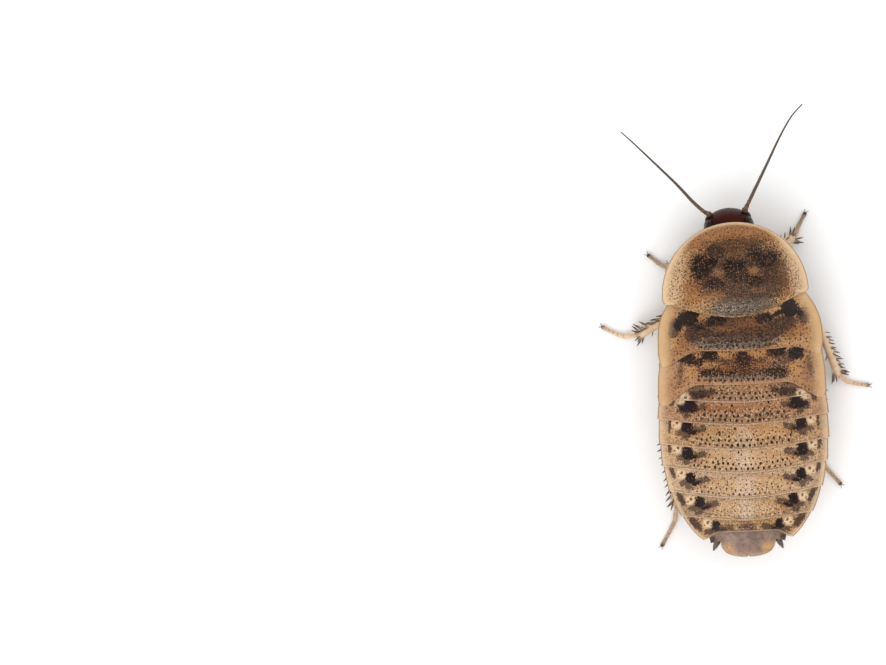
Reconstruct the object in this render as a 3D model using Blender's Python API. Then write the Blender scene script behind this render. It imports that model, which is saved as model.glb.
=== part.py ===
import math

import bmesh
import bpy
from mathutils import Matrix, Vector

# Dubia roach nymph, life size, as a still model.
# Sizes are in millimetres and MM turns them into metres.
# +Y points to the head, +X to the animal's right, +Z up, and the feet stand on z = 0.
MM = 0.001
GAP = 0.25

# Trunk: half width, back height, margin height and belly height along Y,
# with Y = 0 at the middle of the rear edge of the metanotum.
BODY_HALF = 7.5
TAIL_START = -3.0
TAIL_LENGTH = 11.75
TAIL_POWER = 2.3
SHOULDER_Y = 4.5
SHOULDER_FALL = 0.9
BACK = ((-15.5, 4.5), (-13.0, 5.6), (-9.0, 7.0), (-4.0, 7.7), (1.0, 7.8), (6.0, 7.4), (9.0, 7.3))
MARGIN = ((-15.5, 3.9), (-8.0, 3.6), (0.0, 3.7), (8.0, 3.8))
BELLY = ((-15.0, 3.2), (-13.0, 2.9), (-10.0, 2.3), (-7.0, 2.1), (-4.5, 2.6), (-3.0, 3.0), (1.0, 3.1))
DOME_POWER = 2.6
DOME_FALL = 1.1
FLANGE = 0.95
FLANGE_THICK = 0.5

# Plates: each rear lip lies over the front of the next plate.
LIP = 0.14
STEP = LIP + GAP
OVERLAP = 0.6
OVERLAP_FALL = 0.33
SHIELD_OVERLAP = 1.5
PLATE_THICK = 0.5
ROW_POINTS = 17

# Rear edge of each plate: middle Y, forward rise at the sides, backward reach of the side lobes.
EDGES = {
    "pronotum": (5.93, 1.73, 0.0),
    "mesonotum": (2.99, 0.25, 1.5),
    "metanotum": (0.0, 0.3, 1.75),
    "abdomen_segment_1": (-1.6, 0.75, 0.0),
    "abdomen_segment_2": (-3.57, 0.8, 0.0),
    "abdomen_segment_3": (-5.73, 0.8, 0.0),
    "abdomen_segment_4": (-7.81, 0.9, 0.0),
    "abdomen_segment_5": (-10.05, 0.9, 0.0),
    "abdomen_segment_6": (-11.96, 0.6, 0.0),
    "abdomen_segment_7": (-12.94, 0.0, 0.7),
}
ABDOMEN = [name for name in EDGES if name.startswith("abdomen")]
TAIL_EDGE = -13.45
LOBE_START = 0.5
LOBE_SINK = 0.75
NECK_LENGTH = 0.2
PLATE_NECK = 0.35
SHORT_RING = 1.05

# Front of the animal, turned a little to its left about a point in the thorax
FRONT_YAW = math.radians(3.3)
FRONT_PIVOT = Vector((0.0, 3.2, 0.0))
PRONOTUM_HALF = 6.47
PRONOTUM_WIDEST = 8.04
PRONOTUM_LENGTH = 8.36
PRONOTUM_REACH = 6.27
PRONOTUM_MARGIN = 3.5
PRONOTUM_FRONT_LIFT = 1.1
PRONOTUM_RISE = 3.4
PRONOTUM_DOME = (6.9, 6.7)
HEAD_CENTRE = Vector((0.0, 14.0, 3.0))
HEAD_RADII = (2.2, 1.6, 2.0)
EYE_CENTRE = Vector((1.8, 14.0, 3.95))
EYE_RADII = (0.48, 0.8, 0.92)

# Legs: coxa root, coxa tip, knee, ankle, and the tarsus from ankle to claw root
LEGS = {
    "front_left": ((-1.1, 11.4, 2.45), (-1.0, 7.9, 1.65), (-2.9, 11.1, 2.3), (-6.11, 10.49, 0.85),
                   ((-6.95, 10.98), (-7.8, 11.72))),
    "front_right": ((1.1, 11.4, 2.45), (1.0, 7.9, 1.65), (2.2, 11.3, 2.3), (5.16, 12.78, 0.85),
                    ((5.55, 13.74), (6.1, 14.7))),
    "mid_left": ((-1.6, 6.5, 2.3), (-1.35, 2.9, 1.5), (-4.35, 7.05, 2.5), (-8.95, 4.64, 0.85),
                 ((-10.2, 4.62), (-11.05, 4.93), (-12.1, 5.55))),
    "mid_right": ((1.6, 6.5, 2.3), (1.35, 2.9, 1.5), (6.94, 5.32, 2.5), (8.28, 0.47, 0.85),
                  ((9.0, 0.0), (10.04, -0.29), (11.2, -0.5))),
    "hind_left": ((-1.8, 1.7, 2.2), (-1.5, -2.1, 1.5), (-6.64, -3.23, 2.4), (-6.13, -10.56, 0.85),
                  ((-6.2, -11.55), (-6.94, -12.88), (-7.5, -13.8))),
    "hind_right": ((1.8, 1.7, 2.2), (1.5, -2.1, 1.5), (6.43, 0.14, 2.4), (6.78, -6.92, 0.85),
                   ((7.36, -7.82), (8.45, -9.15))),
}
COXA_RADIUS = {"front": 0.78, "mid": 1.2, "hind": 1.4}
FEMUR_RADIUS = {"front": 0.6, "mid": 0.68, "hind": 0.72}
FEMUR_OFFSET = Vector((0.9, -0.4, -0.2))
TIBIA_RADIUS = 0.4
SPINES = {"front": (3, 1, 1), "mid": (5, 3, 2), "hind": (6, 4, 2)}
SPINE_LENGTH = 1.0
SPINE_RADIUS = 0.24
BODY_MIDDLE = Vector((0.0, 2.0, 0.0))
TARSUS_RADIUS = 0.27
TARSUS_HEIGHT = 0.25
CLAW_LENGTH = 0.6
CLAW_RADIUS = 0.14
CLAW_SPREAD = math.radians(30)

# Feelers, from the face to the tip
ANTENNAE = {
    "antenna_left": ((-2.58, 15.17, 3.92), (-3.69, 16.2, 4.2), (-5.13, 17.85, 4.4), (-7.24, 20.04, 4.3),
                     (-8.85, 21.69, 3.9), (-9.79, 22.6, 3.6)),
    "antenna_right": ((0.88, 15.38, 3.85), (1.71, 17.05, 4.2), (2.85, 19.12, 4.4), (3.79, 20.67, 4.3),
                      (4.55, 22.23, 4.0), (5.21, 23.26, 3.8), (6.22, 24.45, 3.5)),
}
ANTENNA_RADII = (0.3, 0.14)
CERCUS_ROOT = Vector((2.66, -13.75, 4.1))
CERCUS_TIP = Vector((3.14, -14.7, 4.0))
CERCUS_RADII = (0.27, 0.26, 0.1)

# Colours as linear values, with roughness
FINISHES = {
    "plate": ((0.33, 0.19, 0.09, 1.0), 0.45),
    "abdomen": ((0.45, 0.28, 0.15, 1.0), 0.45),
    "belly": ((0.25, 0.14, 0.07, 1.0), 0.5),
    "head": ((0.05, 0.02, 0.01, 1.0), 0.35),
    "eye": ((0.01, 0.01, 0.01, 1.0), 0.2),
    "leg": ((0.4, 0.24, 0.13, 1.0), 0.45),
    "feeler": ((0.3, 0.2, 0.13, 1.0), 0.6),
    "tail": ((0.2, 0.13, 0.1, 1.0), 0.5),
}


def clear_scene():
    for item in list(bpy.data.objects):
        bpy.data.objects.remove(item, do_unlink=True)


def along(stations, y):
    """Value at y on the line through (y, value) stations in rising order."""
    if y <= stations[0][0]:
        return stations[0][1]
    for (y_low, low), (y_high, high) in zip(stations, stations[1:]):
        if y <= y_high:
            return low + (high - low) * (y - y_low) / (y_high - y_low)
    return stations[-1][1]


def smooth(low, high, value):
    t = min(max((value - low) / (high - low), 0.0), 1.0)
    return t * t * (3.0 - 2.0 * t)


def mix(a, b, t):
    return a + (b - a) * t


def dome(u):
    """Height of the back, as a share of its rise, at a share u of the half width."""
    return max(1.0 - abs(u) ** DOME_POWER, 0.0) ** DOME_FALL


def half_width(y):
    if y < TAIL_START:
        reach = min((TAIL_START - y) / TAIL_LENGTH, 0.999)
        return BODY_HALF * (1.0 - reach ** TAIL_POWER) ** (1.0 / TAIL_POWER)
    shoulder = max(y - SHOULDER_Y, 0.0) / 3.0
    return BODY_HALF - 0.033 * (y - TAIL_START) - SHOULDER_FALL * shoulder ** 2


def edge_y(name, u):
    """Y of a plate's rear edge at a share u of the half width."""
    middle, rise, lobe = EDGES[name]
    y = middle + rise * abs(u) ** 1.6 - lobe * smooth(LOBE_START, 1.0, abs(u))
    if name == "pronotum":
        y += math.tan(FRONT_YAW) * BODY_HALF * u
    return y


def trunk_top(u, y, depth=0.0):
    """Height of the back, lowered by depth except on the flat margin."""
    low = along(MARGIN, y) + FLANGE_THICK
    return low + (along(BACK, y) - low) * dome(u) - depth


def shares(count):
    """Shares of the half width from -1 to 1, closer together at the margins."""
    return [math.sin(math.radians(-90.0 + 180.0 * i / (count - 1))) for i in range(count)]


def inset(u, narrow, half):
    """Share of the half width for a row whose ends lie narrow inside the margins."""
    return u * (1.0 - narrow / half * abs(u) ** 1.5)


def loft(name, sections, finish):
    """Closed solid through sections, each a top row and a bottom row of equal length."""
    mesh_data = bmesh.new()
    rows = []
    for top, bottom in sections:
        upper = [mesh_data.verts.new(Vector(point) * MM) for point in top]
        lower = [mesh_data.verts.new(Vector(point) * MM) for point in bottom]
        rows.append((upper, lower))

    def strip(first, second):
        for i in range(len(first) - 1):
            mesh_data.faces.new((first[i], first[i + 1], second[i + 1]))
            mesh_data.faces.new((first[i], second[i + 1], second[i]))

    for (top_a, low_a), (top_b, low_b) in zip(rows, rows[1:]):
        strip(top_a, top_b)
        strip(low_a, low_b)
        strip((low_a[0], top_a[0]), (low_b[0], top_b[0]))
        strip((low_a[-1], top_a[-1]), (low_b[-1], top_b[-1]))
    for top, low in (rows[0], rows[-1]):
        strip(low, top)
    bmesh.ops.recalc_face_normals(mesh_data, faces=mesh_data.faces)
    mesh = bpy.data.meshes.new(name)
    mesh_data.to_mesh(mesh)
    mesh_data.free()
    return add_object(name, mesh, finish)


def add_object(name, mesh, finish):
    item = bpy.data.objects.new(name, mesh)
    bpy.data.collections["dubia_roach_nymph"].objects.link(item)
    paint(item, finish)
    return item


def paint(item, finish):
    colour, roughness = FINISHES[finish]
    material = bpy.data.materials.new(item.name + "_finish")
    material.use_nodes = True
    shader = material.node_tree.nodes["Principled BSDF"]
    shader.inputs["Base Color"].default_value = colour
    shader.inputs["Roughness"].default_value = roughness
    shader.inputs["Metallic"].default_value = 0.0
    item.data.materials.clear()
    item.data.materials.append(material)


def belly_fall(i):
    """Place across the belly and its drop, as shares, at point i of a row whose ends are margins."""
    v = math.sin(math.radians(-90.0 + 180.0 * (i - 1) / (ROW_POINTS - 3)))
    if i in (0, ROW_POINTS - 1):
        return v, 0.0
    return v, (1.0 - abs(v) ** 2.5) ** 0.6


def core_rows(y_of, depth_of):
    """Section without its flat margins: the body inside a plate's rear lip."""
    top = []
    bottom = []
    middle_half = half_width(y_of(0.0))
    narrow = FLANGE + depth_of(0.0)
    for i, u in enumerate(shares(ROW_POINTS)):
        share = inset(u, narrow, middle_half)
        y = y_of(share)
        x = half_width(y) * share
        top.append((x, y, trunk_top(share, y, depth_of(share))))
        _, fall = belly_fall(i)
        low = mix(along(MARGIN, y), along(BELLY, y), fall)
        at_margin = 0.2 * depth_of(0.0) + 0.5 * LIP
        bottom.append((x, y, low + mix(at_margin, depth_of(0.0) + LIP, fall)))
    return top, bottom


def ring_rows(y_of, depth_of):
    """Whole section of a ring: back, flat margins and belly."""
    top = []
    bottom = []
    for i, u in enumerate(shares(ROW_POINTS)):
        y = y_of(u)
        half = half_width(y)
        flat = smooth(0.8, 0.92, abs(u))
        top.append((half * u, y, trunk_top(u, y, depth_of(u) * (1.0 - flat))))
        margin = along(MARGIN, y)
        if i in (0, ROW_POINTS - 1):
            bottom.append((half * u, y, margin))
            continue
        v, fall = belly_fall(i)
        y_low = y_of(v * (1.0 - FLANGE / half))
        low = mix(margin, along(BELLY, y_low) + depth_of(0.0), fall)
        bottom.append(((half_width(y_low) - FLANGE) * v, y_low, low))
    return top, bottom


def abdomen_segment(name, ahead):
    """Ring with a tongue that reaches under the plate ahead and a hollow rear lip."""
    first = name == ABDOMEN[0]
    second = name == ABDOMEN[1]
    sink_front = LOBE_SINK if first or second else 0.0
    sink_rear = LOBE_SINK if first else 0.0

    def depth(t, extra=0.0):
        sink = mix(sink_front, sink_rear, 1.0 - (1.0 - t) ** 2)
        return lambda u: STEP * (1.0 - t) + extra + sink * smooth(0.45, 0.75, abs(u))

    def between(t):
        return lambda u: mix(front(u), edge_y(name, u), t)

    def front(u):
        y = edge_y(ahead, u) - GAP
        if first:
            y = max(y, edge_y(name, u) + SHORT_RING)
        if second:
            y = min(y, edge_y("metanotum", u) - GAP)
        return y

    whole = core_rows if first else ring_rows
    sections = [
        core_rows(lambda u: front(u) + GAP + OVERLAP, depth(0.0, OVERLAP_FALL)),
        core_rows(lambda u: front(u) + NECK_LENGTH, depth(0.0)),
        whole(front, depth(0.02)),
        whole(between(0.5), depth(0.5)),
        whole(between(1.0), depth(1.0)),
        core_rows(between(1.0), depth(1.0, LIP)),
        core_rows(lambda u: edge_y(name, u) + OVERLAP + GAP, depth(1.0, LIP + OVERLAP_FALL)),
    ]
    loft(name, sections, "abdomen")


def shell_rows(y_of, depth_of, thick_of, narrow=0.0):
    """Section of a thin plate that follows the back."""
    top = []
    bottom = []
    middle_half = half_width(y_of(0.0))
    for u in shares(ROW_POINTS):
        share = inset(u, narrow, middle_half)
        y = y_of(share)
        x = half_width(y) * share
        z = trunk_top(share, y, depth_of(share))
        top.append((x, y, z))
        bottom.append((x, y, z - thick_of(share)))
    return top, bottom


def back_plate(name, ahead, front_step, overlap):
    """Mesonotum or metanotum: a shell whose side lobes sweep back."""
    def flat(u):
        return smooth(0.8, 0.92, abs(u))

    def depth(t):
        return lambda u: front_step * (1.0 - t) * (1.0 - flat(u))

    def front(u):
        return edge_y(ahead, u) - GAP

    def between(t):
        return lambda u: mix(front(u), edge_y(name, u), t)

    def even(u):
        return PLATE_THICK

    def lip(u):
        return mix(LIP, FLANGE_THICK, flat(u))

    def neck(share):
        return shell_rows(lambda u: front(u) + PLATE_NECK * share, lambda u: front_step, even,
                          (FLANGE + front_step) * share)

    sections = [
        shell_rows(lambda u: edge_y(ahead, u) + overlap,
                   lambda u: front_step + OVERLAP_FALL, lambda u: GAP, FLANGE + front_step),
        neck(1.0), neck(0.67), neck(0.33),
        shell_rows(front, depth(0.02), even),
        shell_rows(between(0.35), depth(0.35), even),
        shell_rows(lambda u: edge_y(name, u) + OVERLAP + GAP, depth(0.7), even),
        shell_rows(between(1.0), depth(1.0), lip),
    ]
    loft(name, sections, "plate")


def pronotum_top(x, y):
    reach = max(y - PRONOTUM_WIDEST, 0.0)
    share = math.hypot(x / PRONOTUM_DOME[0], reach / PRONOTUM_DOME[1])
    low = PRONOTUM_MARGIN + FLANGE_THICK + PRONOTUM_FRONT_LIFT * smooth(0.0, PRONOTUM_REACH, reach)
    return low + PRONOTUM_RISE * dome(share)


def pronotum_half(y_side):
    ahead = (y_side - PRONOTUM_WIDEST) / PRONOTUM_REACH
    if ahead > 0.0:
        return PRONOTUM_HALF * math.sqrt(1.0 - ahead ** 2)
    return PRONOTUM_HALF - 0.55 * (-ahead * PRONOTUM_REACH / 0.4) ** 1.5


def pronotum():
    """Shield over the thorax and the rear of the head."""
    middle, rise, _ = EDGES["pronotum"]
    sections = []
    for t in (0.0, 0.035, 0.09, 0.2, 0.35, 0.5, 0.65, 0.78, 0.88, 0.95, 0.985):
        bow = rise * (1.0 - smooth(0.0, 0.45, t))
        y_middle = middle + PRONOTUM_LENGTH * t
        half = pronotum_half(y_middle + bow)
        top = []
        bottom = []
        for u in shares(ROW_POINTS):
            x = half * u
            y = y_middle + bow * abs(u) ** 1.6
            z = pronotum_top(x, y)
            full = max(smooth(0.0, 0.11, t), smooth(0.8, 0.92, abs(u)))
            top.append((x, y, z))
            bottom.append((x, y, z - mix(LIP, PLATE_THICK, full)))
        sections.append((top, bottom))
    return loft("pronotum", sections, "plate")


def thorax_body(name, y_rear, y_front, top_of, half_of, low):
    """Underside body of one thorax segment, under its plate."""
    sections = []
    for t, swell in ((0.0, 0.85), (0.2, 1.0), (0.8, 1.0), (1.0, 0.85)):
        y = mix(y_rear, y_front, t)
        top = []
        bottom = []
        for u in shares(9):
            x = half_of(y) * swell * u
            high = top_of(x, y)
            middle = mix(low, high, 0.4)
            bulge = math.sqrt(1.0 - u * u)
            top.append((x, y, mix(middle + 0.1, high, bulge * swell)))
            bottom.append((x, y, mix(middle - 0.1, low, bulge * swell)))
        sections.append((top, bottom))
    return loft(name, sections, "belly")


def thorax():
    under_plate = STEP + OVERLAP_FALL + 2.0 * GAP + 0.2

    def trunk_under(x, y):
        return trunk_top(x / half_width(y), y, under_plate)

    def trunk_half(y):
        return half_width(y) * 0.68

    metanotum_edge = EDGES["metanotum"][0]
    mesonotum_edge = EDGES["mesonotum"][0]
    pronotum_edge = EDGES["pronotum"][0]
    thorax_body("metathorax", metanotum_edge + OVERLAP + GAP, mesonotum_edge + 0.2,
                trunk_under, trunk_half, 3.2)
    shield_front = pronotum_edge + SHIELD_OVERLAP
    thorax_body("mesothorax", mesonotum_edge + 0.2 + GAP, shield_front, trunk_under, trunk_half, 3.2)

    def shield_under(x, y):
        return pronotum_top(x, y) - PLATE_THICK - GAP

    return thorax_body("prothorax", shield_front + GAP + 0.3, 12.1, shield_under,
                       lambda y: mix(3.6, 2.4, smooth(9.0, 12.1, y)), 3.3)


def tail():
    """Last narrow ring, the plates above and below the vent, and the cerci."""
    ahead = ABDOMEN[-1]

    def depth(extra):
        return lambda u: STEP + extra

    sections = [
        core_rows(lambda u: edge_y(ahead, u) + OVERLAP, depth(OVERLAP_FALL)),
        core_rows(lambda u: edge_y(ahead, u) - 0.1, depth(0.0)),
        core_rows(lambda u: TAIL_EDGE - 0.3 * abs(u), depth(0.1)),
    ]
    loft("abdomen_segment_8", sections, "tail")

    def plate(name, half, y_front, y_rear, z_front, z_rear, bow):
        rows = []
        for t in (0.0, 0.35, 0.65, 0.85, 0.95, 0.99):
            width = half * (1.0 - t ** 2.2) ** 0.45
            top = []
            bottom = []
            for u in shares(9):
                y = mix(y_front, y_rear, t)
                z = mix(z_front, z_rear, t) - bow * u * u
                top.append((width * u, y, z))
                bottom.append((width * u, y, z - PLATE_THICK * mix(1.0, 0.6, t)))
            rows.append((top, bottom))
        loft(name, rows, "tail")

    plate("supra_anal_plate", 2.45, TAIL_EDGE - GAP, -15.18, 4.95, 4.4, 0.35)
    plate("subgenital_plate", 2.3, TAIL_EDGE - GAP, -14.75, 3.75, 3.8, -0.25)
    for side, sign in (("left", -1.0), ("right", 1.0)):
        root = Vector((CERCUS_ROOT.x * sign, CERCUS_ROOT.y, CERCUS_ROOT.z))
        tip = Vector((CERCUS_TIP.x * sign, CERCUS_TIP.y, CERCUS_TIP.z))
        tube("cercus_" + side, (root, root.lerp(tip, 0.5), tip), CERCUS_RADII, "tail")


def tube(name, points, radii, finish, level=2):
    """Closed tapered tube through points, with a radius at each."""
    curve = bpy.data.curves.new(name, "CURVE")
    curve.dimensions = "3D"
    curve.bevel_depth = MM
    curve.bevel_resolution = level
    curve.use_fill_caps = True
    spline = curve.splines.new("POLY")
    spline.points.add(len(points) - 1)
    for knot, place, radius in zip(spline.points, points, radii):
        knot.co = (*(Vector(place) * MM), 1.0)
        knot.radius = radius
    guide = bpy.data.objects.new(name + "_curve", curve)
    bpy.context.scene.collection.objects.link(guide)
    bpy.context.view_layer.update()
    depsgraph = bpy.context.evaluated_depsgraph_get()
    mesh = bpy.data.meshes.new_from_object(guide.evaluated_get(depsgraph))
    mesh.transform(guide.matrix_world)
    bpy.data.objects.remove(guide, do_unlink=True)
    mesh_data = bmesh.new()
    mesh_data.from_mesh(mesh)
    bmesh.ops.remove_doubles(mesh_data, verts=mesh_data.verts, dist=1e-6)
    bmesh.ops.recalc_face_normals(mesh_data, faces=mesh_data.faces)
    mesh_data.to_mesh(mesh)
    mesh_data.free()
    mesh.name = name
    return add_object(name, mesh, finish)


def flatten(item, centre, direction, factor):
    """Scale an object's mesh along one direction about a point."""
    direction = direction.normalized()
    for vertex in item.data.vertices:
        offset = (vertex.co - centre * MM).dot(direction)
        vertex.co += direction * offset * (factor - 1.0)


def limb(name, start, end, radius, profile, flat, direction, finish, level=2):
    """Leg length from start to end; profile lists (share of length, share of radius)."""
    points = [start.lerp(end, share) for share, _ in profile]
    radii = [radius * size for _, size in profile]
    item = tube(name, points, radii, finish, level)
    flatten(item, start, direction, flat)
    return item


def unite(item, pieces):
    """Fuse closed pieces into an object and keep its largest closed surface."""
    group = bpy.data.collections.new(item.name + "_pieces")
    bpy.context.scene.collection.children.link(group)
    for piece in pieces:
        for holder in list(piece.users_collection):
            holder.objects.unlink(piece)
        group.objects.link(piece)
    union = item.modifiers.new("union", "BOOLEAN")
    union.operation = "UNION"
    union.solver = "EXACT"
    union.operand_type = "COLLECTION"
    union.collection = group
    bpy.context.view_layer.update()
    depsgraph = bpy.context.evaluated_depsgraph_get()
    mesh = bpy.data.meshes.new_from_object(item.evaluated_get(depsgraph))
    item.modifiers.clear()
    old_materials = list(item.data.materials)
    item.data = mesh
    mesh.materials.clear()
    for material in old_materials:
        mesh.materials.append(material)
    for piece in pieces:
        bpy.data.objects.remove(piece, do_unlink=True)
    bpy.data.collections.remove(group)
    keep_largest(mesh)


def keep_largest(mesh):
    mesh_data = bmesh.new()
    mesh_data.from_mesh(mesh)
    bmesh.ops.triangulate(mesh_data, faces=mesh_data.faces)
    bmesh.ops.dissolve_degenerate(mesh_data, edges=mesh_data.edges, dist=1e-7)
    unseen = set(mesh_data.verts)
    islands = []
    while unseen:
        queue = [unseen.pop()]
        island = list(queue)
        while queue:
            for edge in queue.pop().link_edges:
                for vertex in edge.verts:
                    if vertex in unseen:
                        unseen.remove(vertex)
                        island.append(vertex)
                        queue.append(vertex)
        islands.append(island)
    islands.sort(key=len)
    loose = [vertex for island in islands[:-1] for vertex in island]
    bmesh.ops.delete(mesh_data, geom=loose, context="VERTS")
    for face in mesh_data.faces:
        face.material_index = 0
    mesh_data.to_mesh(mesh)
    mesh_data.free()


def spike(name, root, tip, radius, tip_radius=0.03, sides=5):
    """Small tapered cone from root to tip."""
    root = Vector(root)
    tip = Vector(tip)
    axis = tip - root
    mesh_data = bmesh.new()
    bmesh.ops.create_cone(mesh_data, cap_ends=True, segments=sides, radius1=radius * MM,
                          radius2=tip_radius * MM, depth=axis.length * MM)
    turn = axis.to_track_quat("Z", "Y").to_matrix().to_4x4()
    place = Matrix.Translation(root.lerp(tip, 0.5) * MM)
    bmesh.ops.transform(mesh_data, matrix=place @ turn, verts=mesh_data.verts)
    mesh = bpy.data.meshes.new(name)
    mesh_data.to_mesh(mesh)
    mesh_data.free()
    return add_object(name, mesh, "leg")


def trimmed(start, end, from_start, from_end):
    """Ends of a leg length, moved in to leave room at its joints."""
    way = (end - start).normalized()
    return start + way * from_start, end - way * from_end


def leg(name):
    coxa_root, coxa_tip, knee, ankle = (Vector(point) for point in LEGS[name][:4])
    toes = [Vector((x, y, TARSUS_HEIGHT)) for x, y in LEGS[name][4]]
    pair, side = name.split("_")
    sign = -1.0 if side == "left" else 1.0
    up = Vector((0.0, 0.0, 1.0))
    limb("coxa_" + name, coxa_root, coxa_tip, COXA_RADIUS[pair],
         ((0.0, 0.45), (0.12, 0.9), (0.45, 1.0), (0.85, 0.75), (1.0, 0.4)), 0.7, up, "belly")
    hip = coxa_tip + Vector((FEMUR_OFFSET.x * sign, FEMUR_OFFSET.y, FEMUR_OFFSET.z))
    start, end = trimmed(hip, knee, 0.0, GAP / 2)
    limb("femur_" + name, start, end, FEMUR_RADIUS[pair],
         ((0.0, 0.4), (0.12, 0.8), (0.4, 1.0), (0.8, 0.75), (0.95, 0.6), (1.0, 0.3)), 0.6,
         up, "leg")
    start, end = trimmed(knee, ankle, GAP / 2, GAP / 2)
    shin = limb("tibia_" + name, start, end, TIBIA_RADIUS,
                ((0.0, 0.45), (0.06, 0.8), (0.5, 0.9), (0.94, 1.0), (1.0, 0.6)), 0.85,
                (end - start).cross(up), "leg")
    unite(shin, tibia_spines(start, end, (toes[0] - ankle).normalized(), SPINES[pair]))
    tarsus(name, ankle, toes)


def tibia_spines(start, end, foot, counts):
    """Rows of spines down a shin, with spurs round its end that stand clear of the foot."""
    axis = (end - start).normalized()
    out = axis.cross(Vector((0.0, 0.0, 1.0))).normalized()
    if out.dot(start.lerp(end, 0.5) - BODY_MIDDLE) < 0.0:
        out = -out
    over = out.cross(axis).normalized()
    if over.z < 0.0:
        over = -over
    bend = foot - axis * foot.dot(axis)
    outer, inner, lower = counts
    rows = ((outer, 30.0, 0.25, 0.86), (inner, 165.0, 0.35, 0.8), (lower, -75.0, 0.4, 0.75),
            (1, -15.0, 0.94, 0.94), (1, 120.0, 0.94, 0.94), (1, -135.0, 0.94, 0.94))
    spines = []
    for count, angle, first, last in rows:
        side = out * math.cos(math.radians(angle)) + over * math.sin(math.radians(angle))
        for i in range(count):
            share = mix(first, last, i / max(count - 1, 1))
            surface = start.lerp(end, share) + side * TIBIA_RADIUS * 0.5
            towards_foot = share > 0.7 and side.dot(bend) > 0.1
            lean = math.radians(12.0 if towards_foot else mix(38.0, 62.0, share))
            way = side * math.cos(lean) + axis * math.sin(lean)
            length = SPINE_LENGTH * mix(0.8, 1.1, share)
            spines.append(spike("spine", surface, surface + way * length, SPINE_RADIUS))
    return spines


def tarsus(name, ankle, toes):
    """Foot from the ankle along the floor, with two claws, flat under z = 0."""
    start, _ = trimmed(ankle, toes[0], GAP / 2, 0.0)
    points = [start, start.lerp(toes[0], 0.5), *toes]
    points[1].z = mix(TARSUS_HEIGHT, ankle.z, 0.3)
    radii = [TARSUS_RADIUS * 0.9] + [TARSUS_RADIUS] * (len(points) - 2) + [TARSUS_RADIUS * 0.8]
    foot = tube("tarsus_" + name, points, radii, "leg")
    ahead = (toes[-1] - toes[-2]).normalized()
    claws = []
    for turn in (-CLAW_SPREAD, CLAW_SPREAD):
        way = Matrix.Rotation(turn, 3, "Z") @ ahead
        root = toes[-1] - way * 0.15
        tip = toes[-1] + way * CLAW_LENGTH
        tip.z = 0.08
        claws.append(spike("claw", root, tip, CLAW_RADIUS))
    unite(foot, claws)
    for vertex in foot.data.vertices:
        vertex.co.z = max(vertex.co.z, 0.0)


def ball(name, centre, radii, finish, segments=20, rings=12):
    """Ellipsoid from a sphere primitive."""
    mesh_data = bmesh.new()
    bmesh.ops.create_uvsphere(mesh_data, u_segments=segments, v_segments=rings, radius=MM)
    bmesh.ops.scale(mesh_data, vec=Vector(radii), verts=mesh_data.verts)
    bmesh.ops.translate(mesh_data, vec=Vector(centre) * MM, verts=mesh_data.verts)
    mesh = bpy.data.meshes.new(name)
    mesh_data.to_mesh(mesh)
    mesh_data.free()
    return add_object(name, mesh, finish)


def cut(item, cutters):
    """Take cutters out of an object."""
    for cutter in cutters:
        hollow = item.modifiers.new("hollow", "BOOLEAN")
        hollow.operation = "DIFFERENCE"
        hollow.solver = "EXACT"
        hollow.object = cutter
    bpy.context.view_layer.update()
    depsgraph = bpy.context.evaluated_depsgraph_get()
    mesh = bpy.data.meshes.new_from_object(item.evaluated_get(depsgraph))
    item.modifiers.clear()
    old_materials = list(item.data.materials)
    item.data = mesh
    mesh.materials.clear()
    for material in old_materials:
        mesh.materials.append(material)
    for cutter in cutters:
        bpy.data.objects.remove(cutter, do_unlink=True)
    keep_largest(mesh)


def mouthparts():
    """Shield above the mouth, upper lip, jaws, lower lip and the jointed palps."""
    def at(x, y, z):
        return HEAD_CENTRE + Vector((x, y, z))

    pieces = [
        ball("face_shield", at(0.0, 0.85, -0.95), (1.15, 0.42, 0.7), "head", 14, 8),
        ball("upper_lip", at(0.0, 0.6, -1.75), (0.78, 0.3, 0.42), "head", 12, 8),
        ball("lower_lip", at(0.0, -0.35, -1.85), (0.7, 0.3, 0.4), "head", 12, 8),
    ]
    for sign in (-1.0, 1.0):
        pieces.append(ball("jaw", at(0.85 * sign, 0.3, -1.45), (0.5, 0.5, 0.62), "head", 10, 8))
        long_palp = (at(0.9 * sign, -0.1, -1.3), at(1.35 * sign, 0.35, -1.7), at(1.55 * sign, 0.95, -1.6),
                     at(1.45 * sign, 1.35, -2.0), at(1.3 * sign, 1.5, -2.45))
        short_palp = (at(0.45 * sign, -0.45, -1.9), at(0.75 * sign, -0.5, -2.25), at(0.8 * sign, -0.1, -2.5))
        pieces.append(tube("palp", long_palp, (0.26, 0.27, 0.26, 0.28, 0.18), "head", 1))
        pieces.append(tube("palp", short_palp, (0.25, 0.26, 0.16), "head", 1))
    return pieces


def head():
    """Head that hangs under the shield, with its mouth down, and the eyes in their sockets."""
    capsule = ball("head", HEAD_CENTRE, HEAD_RADII, "head")
    for vertex in capsule.data.vertices:
        fall = max(HEAD_CENTRE.z * MM - vertex.co.z, 0.0) / (HEAD_RADII[2] * MM)
        vertex.co.x *= 1.0 - 0.4 * fall
        vertex.co.y -= 0.5 * MM * fall ** 2
    unite(capsule, mouthparts())
    sockets = []
    eyes = []
    for side, sign in (("left", -1.0), ("right", 1.0)):
        centre = Vector((EYE_CENTRE.x * sign, EYE_CENTRE.y, EYE_CENTRE.z))
        grown = [radius + GAP for radius in EYE_RADII]
        sockets.append(ball("socket_" + side, centre, grown, "head", 16, 10))
        eyes.append(ball("eye_" + side, centre, EYE_RADII, "eye", 14, 10))
    cut(capsule, sockets)
    return [capsule, *eyes]


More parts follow.
